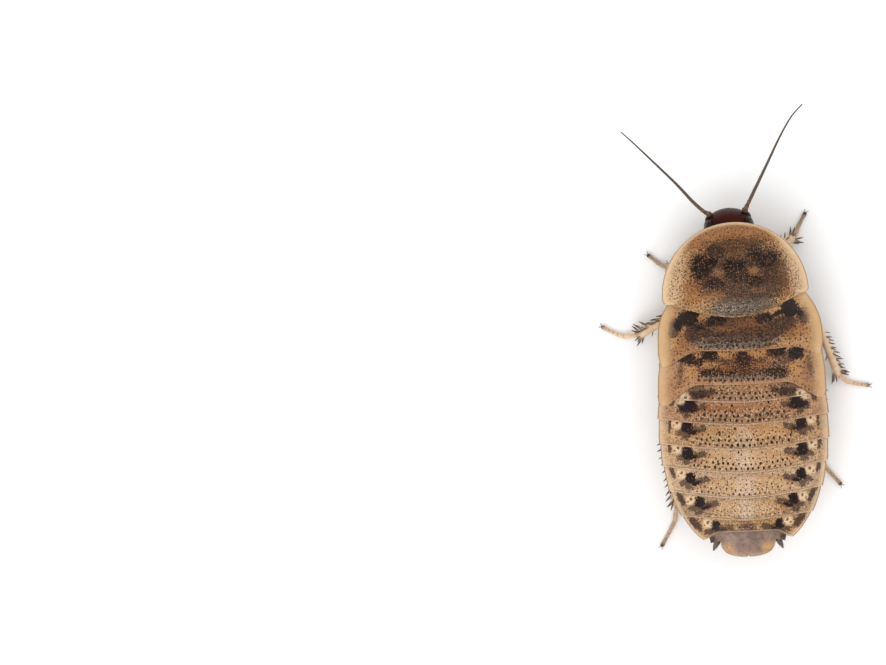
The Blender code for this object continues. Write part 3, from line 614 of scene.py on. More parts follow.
# Layers are (tone, strength, marks), and dots (tone, spacing, size, share, strength, marks or all over)
mesonotumLook = {
    "clear": 0.85, "clearStrength": 0.62, "rough": 0.42, "ragged": 0.5, "mottle": 0.45,
    "rearLine": 0.3, "paleLine": 0.08, "lineAt": 0.1,
    "tones": {"margin": tone(226, 190, 140), "ground": tone(190, 144, 98), "ground2": tone(168, 120, 78),
        "brown": tone(86, 58, 42)},
    "layers": (
        ("rust", 0.6, [(-5.0, 4.3, 0.6, 0.9), (4.6, 4.5, 1.2, 0.6)]),
        ("brown", 0.95, [(0.0, 4.9, 4.3, 1.15, 0.35), (-4.2, 4.6, 0.8, 0.8, 0.5),
            (3.9, 5.2, 1.2, 0.7, 0.5, -20.0)]),
        ("rust", 0.45, [(1.0, 5.4, 1.6, 0.35, 0.6, -4.0), (-0.9, 4.9, 1.0, 0.2)]),
        ("dark", 0.6, [(-3.1, 4.5, 0.6, 0.6, 0.7), (2.0, 4.1, 1.0, 0.5, 0.7, -14.0),
            (3.2, 4.9, 0.7, 0.45, 0.7, -14.0), (-1.4, 4.3, 0.9, 0.3, 0.8), (0.4, 4.7, 0.7, 0.3, 0.8)]),
        ("greyBrown", 0.8, [(-0.6, 3.7, 3.6, 0.5, 0.6, 2.0)]),
        # Painted grey sheen, a reflection of the light, along the rear of the plate
        ("grey", 0.75, [(-1.3, 3.45, 2.5, 0.28, 0.6, 1.0), (1.9, 3.75, 1.5, 0.3, 0.6, -12.0)]),
        ("plum", 0.85, [(-5.8, 5.15, 0.55, 0.85, 0.5, 20.0), (-4.0, 4.65, 0.55, 0.6, 0.5),
            (3.8, 5.5, 1.1, 0.35, 0.5, -8.0), (2.5, 4.2, 1.2, 0.42, 0.5, -18.0),
            (5.5, 5.85, 0.7, 0.6, 0.6, 48.0)]),
        ("dark", 0.97, [(-4.5, 6.0, 0.95, 0.72, 0.35, -6.0), (-3.7, 5.2, 0.6, 0.32, 0.5),
            (-2.1, 5.65, 1.0, 0.45, 0.45, -3.0), (-5.4, 5.5, 0.5, 0.6, 0.5, 30.0),
            (2.1, 5.8, 0.75, 0.5, 0.5, -10.0), (4.4, 6.6, 0.75, 0.8, 0.35, -20.0),
            (5.2, 6.2, 0.5, 0.3, 0.8, 48.0), (3.3, 6.1, 0.8, 0.25, 0.6, -20.0)]),
    ),
    # Strength of the painted grey sheen on the ripple crests, and where the ripples lie
    "paintedSheen": 0.35,
    "ripple": [(-1.0, 3.7, 3.4, 0.5)],
    "ridges": [(0.2, 4.8, 3.8, 0.9, 0.5)],
    "dots": (("dot", 0.17, 0.4, 0.8, 0.7, [(-0.2, 3.6, 3.8, 0.5, 0.4)]),
        ("ash", 0.21, 0.3, 0.5, 0.55, [(-0.4, 3.4, 3.4, 0.3, 0.4)]),
        ("dot", 0.15, 0.38, 0.6, 0.6, [(0.0, 4.8, 4.2, 1.2, 0.4)]),
        ("tan", 0.17, 0.36, 0.55, 0.7, [(0.0, 4.9, 4.6, 1.3, 0.4)]), ("dot", 0.3, 0.3, 0.75, 0.85, None),
        ("dot", 0.17, 0.34, 0.6, 0.65, None)),
}
metanotumLook = {
    "clear": 0.75, "clearStrength": 0.62, "rough": 0.42, "ragged": 0.45, "mottle": 0.5,
    "rearLine": 0.3, "paleLine": 0.15, "lineAt": 0.1,
    "tones": {"margin": tone(222, 186, 140), "ground": tone(186, 138, 98), "ground2": tone(170, 122, 82),
        "tan": tone(192, 138, 82)},
    "layers": (
        ("brown", 0.92, [(-0.2, 1.75, 3.9, 1.15, 0.35)]),
        ("brown", 0.4, [(5.9, 1.3, 0.5, 1.1, 0.8), (-5.4, 1.2, 0.35, 1.1, 0.8, 8.0)]),
        ("tan", 0.8, [(-1.3, 2.72, 0.85, 0.36), (1.5, 2.8, 0.9, 0.45, 0.6, 4.0), (-2.8, 1.8, 0.9, 0.26),
            (-4.4, 1.2, 0.4, 0.6, 0.9, 30.0), (4.6, 1.2, 0.45, 0.6, 0.9, -20.0), (2.9, 2.0, 0.9, 0.25)]),
        ("rust", 0.7, [(-1.0, 1.5, 1.4, 0.25), (1.6, 1.6, 1.2, 0.25)]),
        # Painted grey sheen, a reflection of the light, along the rear of the plate
        ("grey", 0.6, [(0.2, 0.55, 3.6, 0.26, 0.5), (2.6, 1.5, 1.2, 0.2, 0.5, -10.0)]),
        ("plum", 0.75, [(0.1, 1.7, 0.9, 0.8), (3.9, 2.3, 1.1, 0.6, 0.6, -10.0)]),
        ("plum", 0.45, [(-5.35, 1.6, 0.22, 0.9, 0.9, 8.0), (6.0, 1.4, 0.2, 0.9, 0.9, -6.0)]),
        ("dark", 0.97, [(-4.8, 2.45, 0.85, 0.55, 0.4, 22.0), (-3.8, 2.1, 0.45, 0.35, 0.5),
            (-2.8, 2.72, 0.75, 0.5, 0.4), (0.12, 2.2, 0.48, 0.75, 0.5),
            (3.05, 2.9, 0.85, 0.55, 0.4, -6.0), (4.8, 2.6, 0.75, 0.58, 0.45, -24.0),
            (-2.75, 1.1, 0.95, 0.38, 0.5), (2.95, 1.0, 1.2, 0.42, 0.5, 4.0), (-1.2, 1.05, 1.0, 0.18)]),
    ),
    "ridges": [(0.0, 1.5, 4.0, 1.1, 0.5)],
    "dots": (("dot", 0.17, 0.4, 0.7, 0.6, [(0.2, 1.3, 3.8, 1.1, 0.4)]),
        ("ash", 0.24, 0.26, 0.5, 0.6, [(0.2, 0.75, 4.0, 0.35, 0.4)]),
        ("tan", 0.18, 0.34, 0.5, 0.7, [(0.0, 1.6, 4.4, 1.3, 0.4)]), ("dot", 0.3, 0.3, 0.6, 0.8, None),
        ("dot", 0.17, 0.34, 0.6, 0.6, None)),
}

# For each tergite, at one side: dark square with its half sizes, white window, dark corner wedge;
# then the tones of its ground, the strength of its brown rear band, and how far to the side its
# granules reach, how many are strewn ahead of the rows, and their size
tergiteMarks = (
    {"dark": (4.05, -0.35, 0.75, 0.5), "white": (5.1, -1.05), "wedge": (6.15, -1.1, 0.3, 0.35, 0.5),
     "ground": (186, 144, 106), "deep": (128, 90, 62), "band": 0.25, "granules": (4.2, 8, 0.95)},
    {"dark": (4.9, -1.62, 0.78, 0.55), "white": (5.5, -1.1), "wedge": (6.3, -1.3, 0.25, 0.4, 0.5),
     "ground": (190, 144, 104), "deep": (128, 88, 60), "band": 0.4, "granules": (4.3, 16, 0.98)},
    {"dark": (5.03, -3.55, 0.47, 0.44), "white": (5.93, -3.23), "wedge": (6.5, -3.4, 0.14, 0.6, 0.5),
     "ground": (204, 162, 116), "deep": (138, 96, 66), "band": 0.35, "granules": (4.6, 14, 0.95)},
    {"dark": (5.1, -5.76, 0.48, 0.52), "white": (5.95, -5.43), "wedge": (6.6, -5.4, 0.17, 0.5, 0.5, 6.0),
     "ground": (208, 172, 132), "deep": (152, 110, 78), "band": 0.25, "granules": (4.7, 14, 0.9)},
    {"dark": (4.87, -8.0, 0.43, 0.45), "white": (5.7, -7.67), "wedge": (6.4, -7.5, 0.18, 0.55, 0.5, 16.0),
     "ground": (214, 180, 146), "deep": (152, 112, 82), "band": 0.25, "granules": (4.4, 16, 0.8)},
    {"dark": (4.15, -10.18, 0.45, 0.42), "white": (4.98, -10.0),
     "wedge": (5.75, -9.85, 0.24, 0.72, 0.5, 28.0), "ground": (186, 154, 116), "deep": (134, 98, 70),
     "band": 0.35, "granules": (3.7, 14, 0.6)},
    {"dark": (2.87, -12.32, 0.42, 0.38), "white": (3.57, -12.1),
     "wedge": (4.57, -12.1, 0.34, 0.8, 0.5, 40.0), "ground": (192, 150, 106), "deep": (134, 94, 66),
     "band": 0.35, "granules": (2.4, 6, 0.5)},
)


def tergiteLook(number, spots):
    name = "abdomen_segment_%d" % number
    ahead = plateEdges[plateAhead(name)][0]
    rear = plateEdges[name][0]
    middle = (ahead + rear) / 2.0
    half = halfWidth(middle)
    side = 0.3 * half
    darkX, darkY, wide, long = spots["dark"]
    whiteX, whiteY = spots["white"]
    layers = [("rust", 0.55, [(-1.4, ahead - 0.5, half * 0.36, 0.22, 0.5),
                              (2.4, ahead - 0.45, half * 0.28, 0.24, 0.6, 4.0)]),
              ("brown", spots["band"], [(0.0, rear + 0.55, half * 0.66, 0.5, 0.5)])]
    # Painted pinkish sheen down the middle of the ring
    if number in (4, 5, 6):
        layers.append(("rose", 0.6, [(-0.2, middle + 0.1, half * 0.4, 0.75)]))
    if number == 2:
        layers.append(("rust", 0.7, [(-2.0, -2.05, 1.7, 0.26, 0.5)]))
    if number > 2:
        layers.append(("yellow", 0.55, [(-side, middle, 0.2 * half, 0.8), (side, middle, 0.24 * half, 0.8)]))
    # Narrow painted lilac sheen along the middle of the ring
    if 2 < number < 7:
        layers.append(("lilac", 0.4, [(-0.1, middle, 0.12 * half, 0.9, 0.8)]))
    if number == 7:
        layers += [("plum", 0.85, [(0.0, -12.5, 0.8, 0.3, 0.5)]), ("dark", 0.8, [(0.0, -12.88, 3.0, 0.12)])]
    smears = bothSides((darkX - 0.35, darkY - 0.42, 1.05, 0.36, 0.6, 10.0),
                       (darkX + 0.5, darkY - 0.4, 0.5, 0.28, 0.6, 24.0),
                       (darkX - 1.35, darkY - 0.2, 0.32, 0.3), (darkX + 0.1, darkY - 0.85, 0.4, 0.3, 0.9))
    squares = bothSides((darkX, darkY, wide * 1.1, long * 1.1, 0.3, 6.0),
                        (darkX - 0.5, darkY - 0.5, 0.4, 0.16, 0.8, 16.0))
    windowDots = bothSides((whiteX - 0.08, whiteY + 0.1, 0.12, 0.14, 0.5),
                           (whiteX + 0.22, whiteY - 0.14, 0.08, 0.08, 0.5))
    return {
        "clear": 0.34 if number > 3 else 0.45, "clearStrength": 0.5, "rough": 0.42, "ragged": 0.22,
        "mottle": 0.62, "rearLine": 0.4, "paleLine": 0.25, "lineAt": 0.13,
        "tones": {"ground": tone(*spots["ground"]), "deep": tone(*spots["deep"]),
                  "ground2": tone(*[value * 0.9 for value in spots["ground"]]),
                  "margin": tone(232, 204, 170), "white": tone(226, 194, 156), "dark": tone(46, 31, 25)},
        "layers": layers,
        "over": (("umber", 0.8, smears),
                 ("rust", 0.5, bothSides((darkX - 0.9, darkY - 0.75, 0.5, 0.2, 0.8, 12.0))),
                 ("dark", 1.0 if number > 1 else 0.6, squares),
                 ("white", 0.9, bothSides((whiteX, whiteY, 0.4, 0.4, 0.45, -8.0)), "smooth"),
                 ("dot", 0.85, windowDots, "smooth")),
        "corner": bothSides(spots["wedge"]),
        "dots": (("deep", 0.2, 0.4, 0.6, 0.75, [(0.0, rear + 0.75, half * 0.8, 0.7, 0.4)]),
                 ("fleck", 0.22, 0.34, 0.6, 0.7 if number < 7 else 0.25,
                  [(0.0, rear + 0.7, half * 0.78, 0.7, 0.4)]),
                 ("pale", 0.26, 0.3, 0.4, 0.5, None), ("dot", 0.34, 0.24, 0.4, 0.75, None),
                 ("deep", 0.15, 0.4, 0.65, 0.75, None), ("dot", 0.19, 0.26, 0.35, 0.5, None)),
    }


granuleHorn = paintGranule("granuleHorn", tone(84, 56, 38), tone(52, 36, 28))
paleGranuleHorn = paintGranule("paleGranuleHorn", tone(128, 90, 62), tone(80, 54, 40))


def addBackPlate(node, pieceName, slot, material, tuck, granules, horn):
    plate = makeBackPlate(node, pieceName, material, tuck)
    plate = strewGranules(plate, node, granuleSpots(node, *granules), horn)
    settle(plate, slot, [node])


addBackPlate("mesonotum", "mesonotumPlate", "back_shell", paintShell("mesonotumHorn", mesonotumLook), 1.5,
             (3.6, 26, 0.85), granuleHorn)
addBackPlate("metanotum", "metanotumPlate", "back_shell", paintShell("metanotumHorn", metanotumLook),
             plateForm["tuck"], (4.0, 22, 0.9), granuleHorn)
for number, spots in enumerate(tergiteMarks, 1):
    addBackPlate("abdomen_segment_%d" % number, "tergite_%d" % number, "abdomen_shell",
                 paintShell("tergiteHorn_%d" % number, tergiteLook(number, spots)), plateForm["tuck"],
                 spots["granules"], granuleHorn if number < 5 else paleGranuleHorn)
print("stage: back plates of thorax and abdomen")


# Pronotum, the shield over the thorax and the back of the head

shield = {
    "half": 6.47, "widest": 8.04, "reach": 6.27, "rearMiddle": 5.93, "rearRise": 1.73, "rearHalf": 6.05,
    "rearEnd": 5.9,
    "margin": 3.5, "marginThick": 0.5, "frontLift": 1.1, "rise": 3.4, "dome": (6.9, 6.7),
    "centreY": 9.1, "divisions": 150, "thick": 0.2, "rim": 0.09,
    "corner": ((-6.465, 7.93), (-6.43, 7.82), (-6.34, 7.71), (-6.2, 7.65), (-6.05, 7.62)),
}
# Relief of the shield: middle Y, half width, half length and height; a pit lies at each side
shieldRelief = {"disc": (9.2, 3.6, 2.6, 0.11), "pits": (9.9, 0.55, 0.5, 0.1), "pitX": 1.45,
                "folds": (6.8, 2.6, 0.7, 0.02), "foldPitch": 22.0}


def shieldRear(x):
    share = min(abs(x), shield["rearHalf"]) / shield["rearHalf"]
    return shield["rearMiddle"] + shield["rearRise"] * share ** edgeCurve


def shieldOutline():
    # An arch over the front, then a corner, the rear edge and the other corner
    points = []
    for i in range(121):
        angle = math.radians(180.0 * i / 120.0)
        points.append((shield["half"] * math.cos(angle),
                       shield["widest"] + shield["reach"] * math.sin(angle)))
    points.extend(shield["corner"])
    for i in range(61):
        x = shield["rearEnd"] * (i / 30.0 - 1.0)
        points.append((x, shieldRear(x)))
    points.extend((-x, y) for x, y in reversed(shield["corner"]))
    return points


shieldRays = sorted((math.atan2(y - shield["centreY"], x), math.hypot(x, y - shield["centreY"]))
                    for x, y in shieldOutline())


def shieldRadius(angle):
    rays = shieldRays
    if angle <= rays[0][0] or angle >= rays[-1][0]:
        return rays[0][1]
    low, high = 0, len(rays) - 1
    while high - low > 1:
        middle = (low + high) // 2
        low, high = (middle, high) if rays[middle][0] <= angle else (low, middle)
    span = rays[high][0] - rays[low][0]
    return mix(rays[low][1], rays[high][1], (angle - rays[low][0]) / max(span, 1e-9))


def shieldTop(x, y):
    reach = max(y - shield["widest"], 0.0)
    share = math.hypot(x / shield["dome"][0], reach / shield["dome"][1])
    lift = shield["frontLift"] * ease(0.0, shield["reach"], reach)
    return shield["margin"] + shield["marginThick"] + lift + shield["rise"] * dome(share)


def shieldPlace(s, t):
    # The square grid is drawn round, and then out to the outline along its rays
    x = s * math.sqrt(1.0 - t * t / 2.0)
    y = t * math.sqrt(1.0 - s * s / 2.0)
    angle = math.atan2(y, x)
    out = math.hypot(x, y)
    edge = shieldRadius(angle)
    x = edge * out * math.cos(angle)
    y = shield["centreY"] + edge * out * math.sin(angle)
    side = edge * (1.0 - out)

    def relief(name, shift=0.0):
        middle, wide, long, height = shieldRelief[name]
        return height * hill(x if not shift else abs(x) - shift, y - middle, wide, long)

    z = shieldTop(x, y) + relief("disc") * grain(x, y, 1.0, 1.5)
    z += 0.03 * grain(x, y, 2.0, 0.7) * ease(0.3, 1.2, side) - relief("pits", shieldRelief["pitX"])
    z += relief("folds") * math.sin(y * shieldRelief["foldPitch"] + 3.0 * grain(x, y, 5.0, 1.2))
    z -= shield["rim"] * ease(0.22, 0.0, side)
    side *= 1.0 + 1.2 * ease(11.5, 13.8, y)   # the clear margin narrows at the front
    if y <= 7.7:
        side = mix(side, 3.0, ease(7.7, 7.2, y))   # and ends at the rear edge
    return Vector((x, y, z)), y - shieldRear(x), side


pronotumLook = {
    "clear": 0.45, "clearStrength": 0.6, "rough": 0.4, "ragged": 0.5, "mottle": 0.6,
    "rearLine": 0.15, "paleLine": 0.06, "lineAt": 0.1,
    "tones": {"margin": tone(236, 202, 162), "ground": tone(194, 150, 100), "ground2": tone(172, 126, 80),
        "tan": tone(164, 114, 72), "grey": tone(122, 110, 98), "brown": tone(84, 58, 42),
        "plum": tone(64, 46, 42)},
    # Strength of the painted grey sheen on the ripple crests
    "paintedSheen": 0.45,
    "layers": (
        ("pale", 0.55, [(-5.5, 9.7, 0.9, 2.7, 0.9, 12.0), (5.6, 9.3, 0.8, 2.6, 0.9, -12.0)], "smooth"),
        ("rust", 0.65, [(0.1, 12.9, 3.9, 1.2, 0.5), (-3.5, 8.6, 1.2, 1.1), (3.6, 8.2, 1.3, 0.9)]),
        ("brown", 0.85, [(0.05, 9.9, 3.8, 2.2, 0.5), (0.2, 12.1, 2.9, 0.8)]),
        ("plum", 0.85, [(-1.4, 11.8, 0.9, 0.55, 0.5, 20.0), (1.9, 11.5, 0.9, 0.6, 0.5, -30.0),
            (-2.6, 10.6, 1.3, 1.3), (2.9, 10.8, 1.3, 1.0), (0.2, 9.9, 1.6, 1.3, 0.7),
            (1.6, 8.7, 1.8, 0.7, 0.7), (3.1, 9.3, 0.8, 1.0, 0.5), (-0.4, 10.0, 0.7, 1.2),
            (0.8, 9.3, 0.9, 0.8), (-2.0, 9.3, 1.0, 0.6)]),
        ("brown", 0.75, [(3.9, 9.5, 0.9, 1.6), (1.2, 8.3, 3.0, 1.0)]),
        ("greyBrown", 0.85, [(1.3, 7.8, 2.6, 1.0, 0.7), (0.5, 6.85, 2.9, 0.8)]),
        # Painted grey sheen, a reflection of the light, at the rear of the shield
        ("grey", 0.75, [(-0.6, 6.85, 1.5, 0.5, 0.8), (1.4, 6.9, 1.4, 0.4, 0.9)]),
        ("dark", 0.97, [(-2.85, 10.75, 0.85, 0.9, 0.5, 18.0), (-1.9, 10.95, 0.55, 0.4, 0.5),
            (-3.0, 9.9, 0.35, 0.45, 0.5), (-1.6, 8.87, 0.9, 0.45, 0.5, 6.0), (-0.4, 10.3, 0.45, 0.8),
            (0.62, 10.45, 0.5, 0.45, 0.5), (3.05, 10.75, 0.85, 0.65, 0.4, -20.0),
            (2.0, 11.3, 0.55, 0.4, 0.6, -35.0), (1.67, 9.0, 0.8, 0.42, 0.5, 4.0),
            (0.3, 9.5, 0.4, 0.5, 0.7)]),
        ("tan", 0.65, [(-1.3, 9.95, 0.48, 0.3, 0.9, 20.0), (1.7, 9.9, 0.46, 0.3, 0.9),
            (2.1, 8.1, 0.6, 0.22, 0.9), (-1.8, 7.95, 0.9, 0.24, 0.9)]),
    ),
    "ripple": [(-0.5, 6.9, 2.4, 0.7)],
    "ridges": [(0.6, 8.3, 2.2, 0.8, 0.5)],
    "dots": (("dot", 0.17, 0.4, 0.8, 0.7, [(0.6, 7.3, 2.9, 1.2, 0.5)]),
        ("fleck", 0.22, 0.3, 0.6, 0.7, [(-0.9, 6.75, 1.2, 0.35, 0.7)]),
        ("ash", 0.24, 0.28, 0.35, 0.45, [(0.6, 6.8, 2.6, 0.6, 0.5)]),
        ("tan", 0.17, 0.36, 0.55, 0.65, [(0.0, 10.4, 4.4, 3.0, 0.4)]),
        ("dot", 0.33, 0.22, 0.8, 0.85, None), ("dot", 0.2, 0.28, 0.75, 0.75, None),
        ("dot", 0.13, 0.38, 0.65, 0.55, None)),
}
pronotumShield = makeSheet("pronotumShield", shield["divisions"], shield["divisions"], shieldPlace,
                           paintShell("pronotumHorn", pronotumLook, True), shield["thick"])
settle(pronotumShield, "pronotum_shell", ["pronotum"], True)
print("stage: pronotum")


# Soft body under the plates, and the plates of its underside

softBody = {"segments": 96, "rings": 150, "rear": -14.1, "front": 13.3, "inset": 0.75, "underBack": 0.55,
            "underShield": 0.62, "neckFrom": 6.2, "neckTo": 12.6, "neckHalf": 1.75, "breast": 3.25}


def bodyPoint(unit):
    # A point of the unit ball moved out to the skin; its y says how far along the body it lies
    share = math.asin(max(-1.0, min(1.0, unit.y))) / math.pi + 0.5
    y = mix(softBody["rear"], softBody["front"], share)
    neck = softBody["neckFrom"]
    half = halfWidth(min(y, neck)) - softBody["inset"]
    if y >= neck:
        half = mix(half, softBody["neckHalf"], ease(neck, softBody["neckTo"], y))
    side = softAlong(trunk["margin"], y) + 0.15
    ends = min(ease(0.0, 0.05, share), 1.0) * min(ease(1.0, 0.93, share), 1.0)
    angle = math.atan2(unit.z, unit.x)
    x = half * math.cos(angle) * (0.25 + 0.75 * ends)
    up = math.sin(angle)
    if up >= 0.0:
        if y < neck:
            top = trunkTop(x / halfWidth(y), y) - softBody["underBack"]
        else:
            top = shieldTop(x, y) - softBody["underShield"]
        z = side + (top - side) * up ** 0.7
    else:
        low = softAlong(trunk["belly"], y) + 0.14 if y < 2.0 else softBody["breast"]
        z = side - (side - low) * (-up) ** 0.55
    middle = side + 0.35
    z = middle + (z - middle) * (0.3 + 0.7 * ends)
    z += 0.03 * grain(x, y, z, 0.8)
    # The front of the soft body turns with the shield
    point = Vector((x, y, z))
    return Matrix.Rotation(frontYaw * ease(2.5, 7.5, y), 3, "Z") @ (point - frontPivot) + frontPivot


def paintSkin():
    bench = newPaint("jointSkin")
    stretched = bench.vector("MULTIPLY", bench.place, (1.0, 4.0, 1.0))
    folds = bench.noise(1.6, 4.0, 0.7, stretched)
    broad = bench.fall(bench.noise(0.8, 4.0), 0.3, 0.7)
    colour = bench.blend(broad, tone(196, 158, 118), tone(158, 116, 82))
    colour = bench.over(colour, tone(110, 76, 52), bench.fall(folds, 0.45, 0.75), 0.5)
    return bench.finish(colour, (0.42, 0.6), folds, bump=(0.5, 0.12), glow=(0.15, (0.6, 0.3, 0.15)))


pickOnly()
bpy.ops.mesh.primitive_uv_sphere_add(segments=softBody["segments"], ring_count=softBody["rings"], radius=1.0,
                                     rotation=(math.radians(90.0), 0.0, 0.0))
softSkin = justAdded("softSkin")
applyPlace(softSkin)
for vertex in softSkin.data.vertices:
    vertex.co = bodyPoint(vertex.co.normalized())
softSkin.data.materials.append(paintSkin())
bpy.ops.object.mode_set(mode="EDIT")
bpy.ops.mesh.select_all(action="SELECT")
bpy.ops.mesh.remove_doubles(threshold=0.0005)
bpy.ops.mesh.normals_make_consistent(inside=False)
bpy.ops.object.mode_set(mode="OBJECT")
settle(softSkin, "underside", ["prothorax", "mesothorax", "metathorax"], angle=60.0)
print("stage: soft body")

sternite = {"columns": 90, "rows": 16, "thick": 0.12, "drop": 0.14, "tuck": 0.5, "inset": 0.42}


def paintSternite():
    bench = newPaint("bellyHorn")
    fine = bench.noise(4.5, 4.0, 0.7)
    colour = bench.blend(bench.fall(bench.noise(0.6, 4.0), 0.35, 0.65), tone(150, 98, 60), tone(112, 70, 44))
    colour = bench.over(colour, tone(74, 46, 32), bench.fall(fine, 0.4, 0.7), 0.6)
    colour = bench.over(colour, tone(196, 152, 104), bench.fall(bench.measure("fromSide"), 1.9, 0.3), 0.7)
    colour = bench.over(colour, tone(196, 150, 104), bench.fall(bench.measure("fromRear"), 0.35, 0.02), 0.6)
    dots = bench.group(speckle, Vector=bench.place, Spacing=0.3, Size=0.4, Share=0.5)
    colour = bench.over(colour, tone(52, 32, 24), dots, 0.5)
    return bench.finish(colour, (0.3, 0.46), fine, bump=(0.3, 0.06))


def sterniteEdge(plate, u):
    if plate == "metanotum":
        return plateEdges[plate][0] + plateEdges[plate][1] * abs(u) ** edgeCurve
    return rearEdge(plate, u * 0.9)


def makeSternite(number, material):
    name = "abdomen_segment_%d" % number

    def placeOf(s, t):
        u = crowded(s)
        rear = sterniteEdge(name, u)
        ahead = sterniteEdge(plateAhead(name), u)
        y = mix(rear, max(ahead + sternite["tuck"], rear + 0.4), (1.0 + t) / 2.0)
        half = halfWidth(y) - sternite["inset"]
        fall = (1.0 - abs(u) ** 2.5) ** 0.6
        low = mix(softAlong(trunk["margin"], y) + 0.05, softAlong(trunk["belly"], y), fall)
        behind = (ahead - y) / max(ahead - rear, 0.5)
        lift = sternite["drop"] * (1.0 - min(max(behind, -0.4), 1.0))
        return Vector((half * u, y, low + lift)), y - rear, half * (1.0 - abs(u))

    piece = makeSheet("sternite_%d" % number, sternite["columns"], sternite["rows"], placeOf, material,
                      sternite["thick"], True)
    settle(piece, "abdomen_shell")


bellyHorn = paintSternite()
for number in range(1, 8):
    makeSternite(number, bellyHorn)
print("stage: belly plates")


# Tail: last ring, and the plates above and below the vent

tailForm = {"front": -13.15, "columns": 60, "rows": 40, "thick": 0.24}
# Node, half width, rear Y, heights at front and rear, how far the sides hang down, depth of the notch
tailPlates = {
    "supraAnalPlate": ("supra_anal_plate", 2.46, -15.18, (5.05, 4.4), 0.35, 0.1),
    "subgenitalPlate": ("subgenital_plate", 2.3, -14.75, (3.2, 3.5), -0.35, 0.0),
}


def paintTail():
    bench = newPaint("tailHorn")
    fine = bench.noise(4.0, 4.0, 0.7)
    warped = bench.warped(0.2, 0.2)
    broad = bench.fall(bench.noise(0.9, 4.0), 0.35, 0.65)
    colour = bench.blend(broad, tone(152, 126, 110), tone(124, 100, 88))
    rim = [(0.0, -15.05, 2.4, 0.22, 0.9), *bothSides((2.3, -14.4, 0.12, 0.6, 0.9, 12.0))]
    amber = bothSides((1.7, -14.35, 0.5, 0.42, 0.8, -25.0))
    dusk = bothSides((3.15, -13.5, 0.3, 0.3, 0.5))
    for tint, strength, marks in ((tone(196, 166, 124), 0.6, rim), (tone(204, 156, 100), 0.7, amber),
                                  (tone(140, 100, 90), 0.5, [(0.0, -14.55, 0.8, 0.5)]),
                                  (tone(62, 48, 44), 0.85, dusk)):
        colour = bench.over(colour, tint, bench.marks(warped, marks), strength)
    colour = bench.over(colour, tone(84, 60, 50), bench.fall(fine, 0.45, 0.75), 0.5)
    return bench.finish(colour, (0.34, 0.5), fine, bump=(0.35, 0.08))


tailHorn = paintTail()


def makeTailPlate(name, node, half, rear, heights, bow, notch):
    # The plate below the vent curls up at its sides and looks down
    def placeOf(s, t):
        share = (1.0 - t) / 2.0 * 0.995
        width = half * (1.0 - share ** 3.4) ** 0.4
        y = mix(tailForm["front"], rear, share)
        z = mix(*heights, share) - bow * s * s + 0.03 * grain(width * s, y, 4.0, 0.6)
        y += notch * math.exp(-(s / 0.2) ** 2) * ease(0.7, 1.0, share)
        return Vector((width * s, y, z)), 1.0, width * (1.0 - abs(s))

    piece = makeSheet(name, tailForm["columns"], tailForm["rows"], placeOf, tailHorn, tailForm["thick"],
                      bow < 0.0)
    settle(piece, "tail_shell", [node])


# Front and rear of the last ring: Y, half width, height; then how its sides curve back and hang down
ringForm = {"front": (-12.6, 3.5, 5.35), "rear": (-13.57, 3.28, 5.1), "back": 0.3, "hang": 1.1, "thick": 0.3}


def lastRingPlace(s, t):
    y, half, z = (mix(a, b, (1.0 - t) / 2.0) for a, b in zip(ringForm["front"], ringForm["rear"]))
    y -= ringForm["back"] * abs(s) ** 3
    z -= ringForm["hang"] * abs(s) ** 2.4 - 0.02 * grain(s * 3.0, y, 0.0, 0.5)
    return Vector((half * s, y, z)), 1.0, half * (1.0 - abs(s))


for name, values in tailPlates.items():
    makeTailPlate(name, *values)
lastRing = makeSheet("tergite_8", 70, 14, lastRingPlace, tailHorn, ringForm["thick"])
settle(lastRing, "tail_shell", ["abdomen_segment_8"])
print("stage: tail plates")


# Turned forms: rings of points drawn out of a circle, ring by ring

def turnedForm(name, stations, corners=16, levels=1):
    # Stations are (distance, radius) along +Z; each ring is extruded from the last and scaled
    pickOnly()
    bpy.ops.mesh.primitive_circle_add(vertices=corners, radius=stations[0][1], fill_type="NGON",
                                      location=(0.0, 0.0, stations[0][0]))
    piece = justAdded(name)
    applyPlace(piece)
    bpy.ops.object.mode_set(mode="EDIT")
    bpy.ops.mesh.select_all(action="SELECT")
    for (lastAt, lastRadius), (at, radius) in zip(stations, stations[1:]):
        bpy.ops.mesh.extrude_region_move(TRANSFORM_OT_translate={"value": (0.0, 0.0, at - lastAt)})
        ratio = radius / lastRadius
        bpy.ops.transform.resize(value=(ratio, ratio, 1.0), center_override=(0.0, 0.0, at))
    bpy.ops.mesh.select_all(action="SELECT")
    bpy.ops.mesh.normals_make_consistent(inside=False)
    bpy.ops.object.mode_set(mode="OBJECT")
    if levels:
        applyModifier(piece, "SUBSURF", levels=levels, render_levels=levels)
    return piece


def aimed(piece, start, end, side=upward, size=1.0):
    # Turn a form drawn along +Z so that it runs from start towards end, its Y nearest to side
    forward = (end - start).normalized()
    across = side.cross(forward)
    if across.length < 1e-4:
        across = Vector((1.0, 0.0, 0.0))
    across.normalize()
    turn = Matrix((across, forward.cross(across), forward)).transposed().to_4x4()
    piece.matrix_world = Matrix.Translation(start) @ turn @ Matrix.Scale(size, 4)
    applyPlace(piece)
    return piece


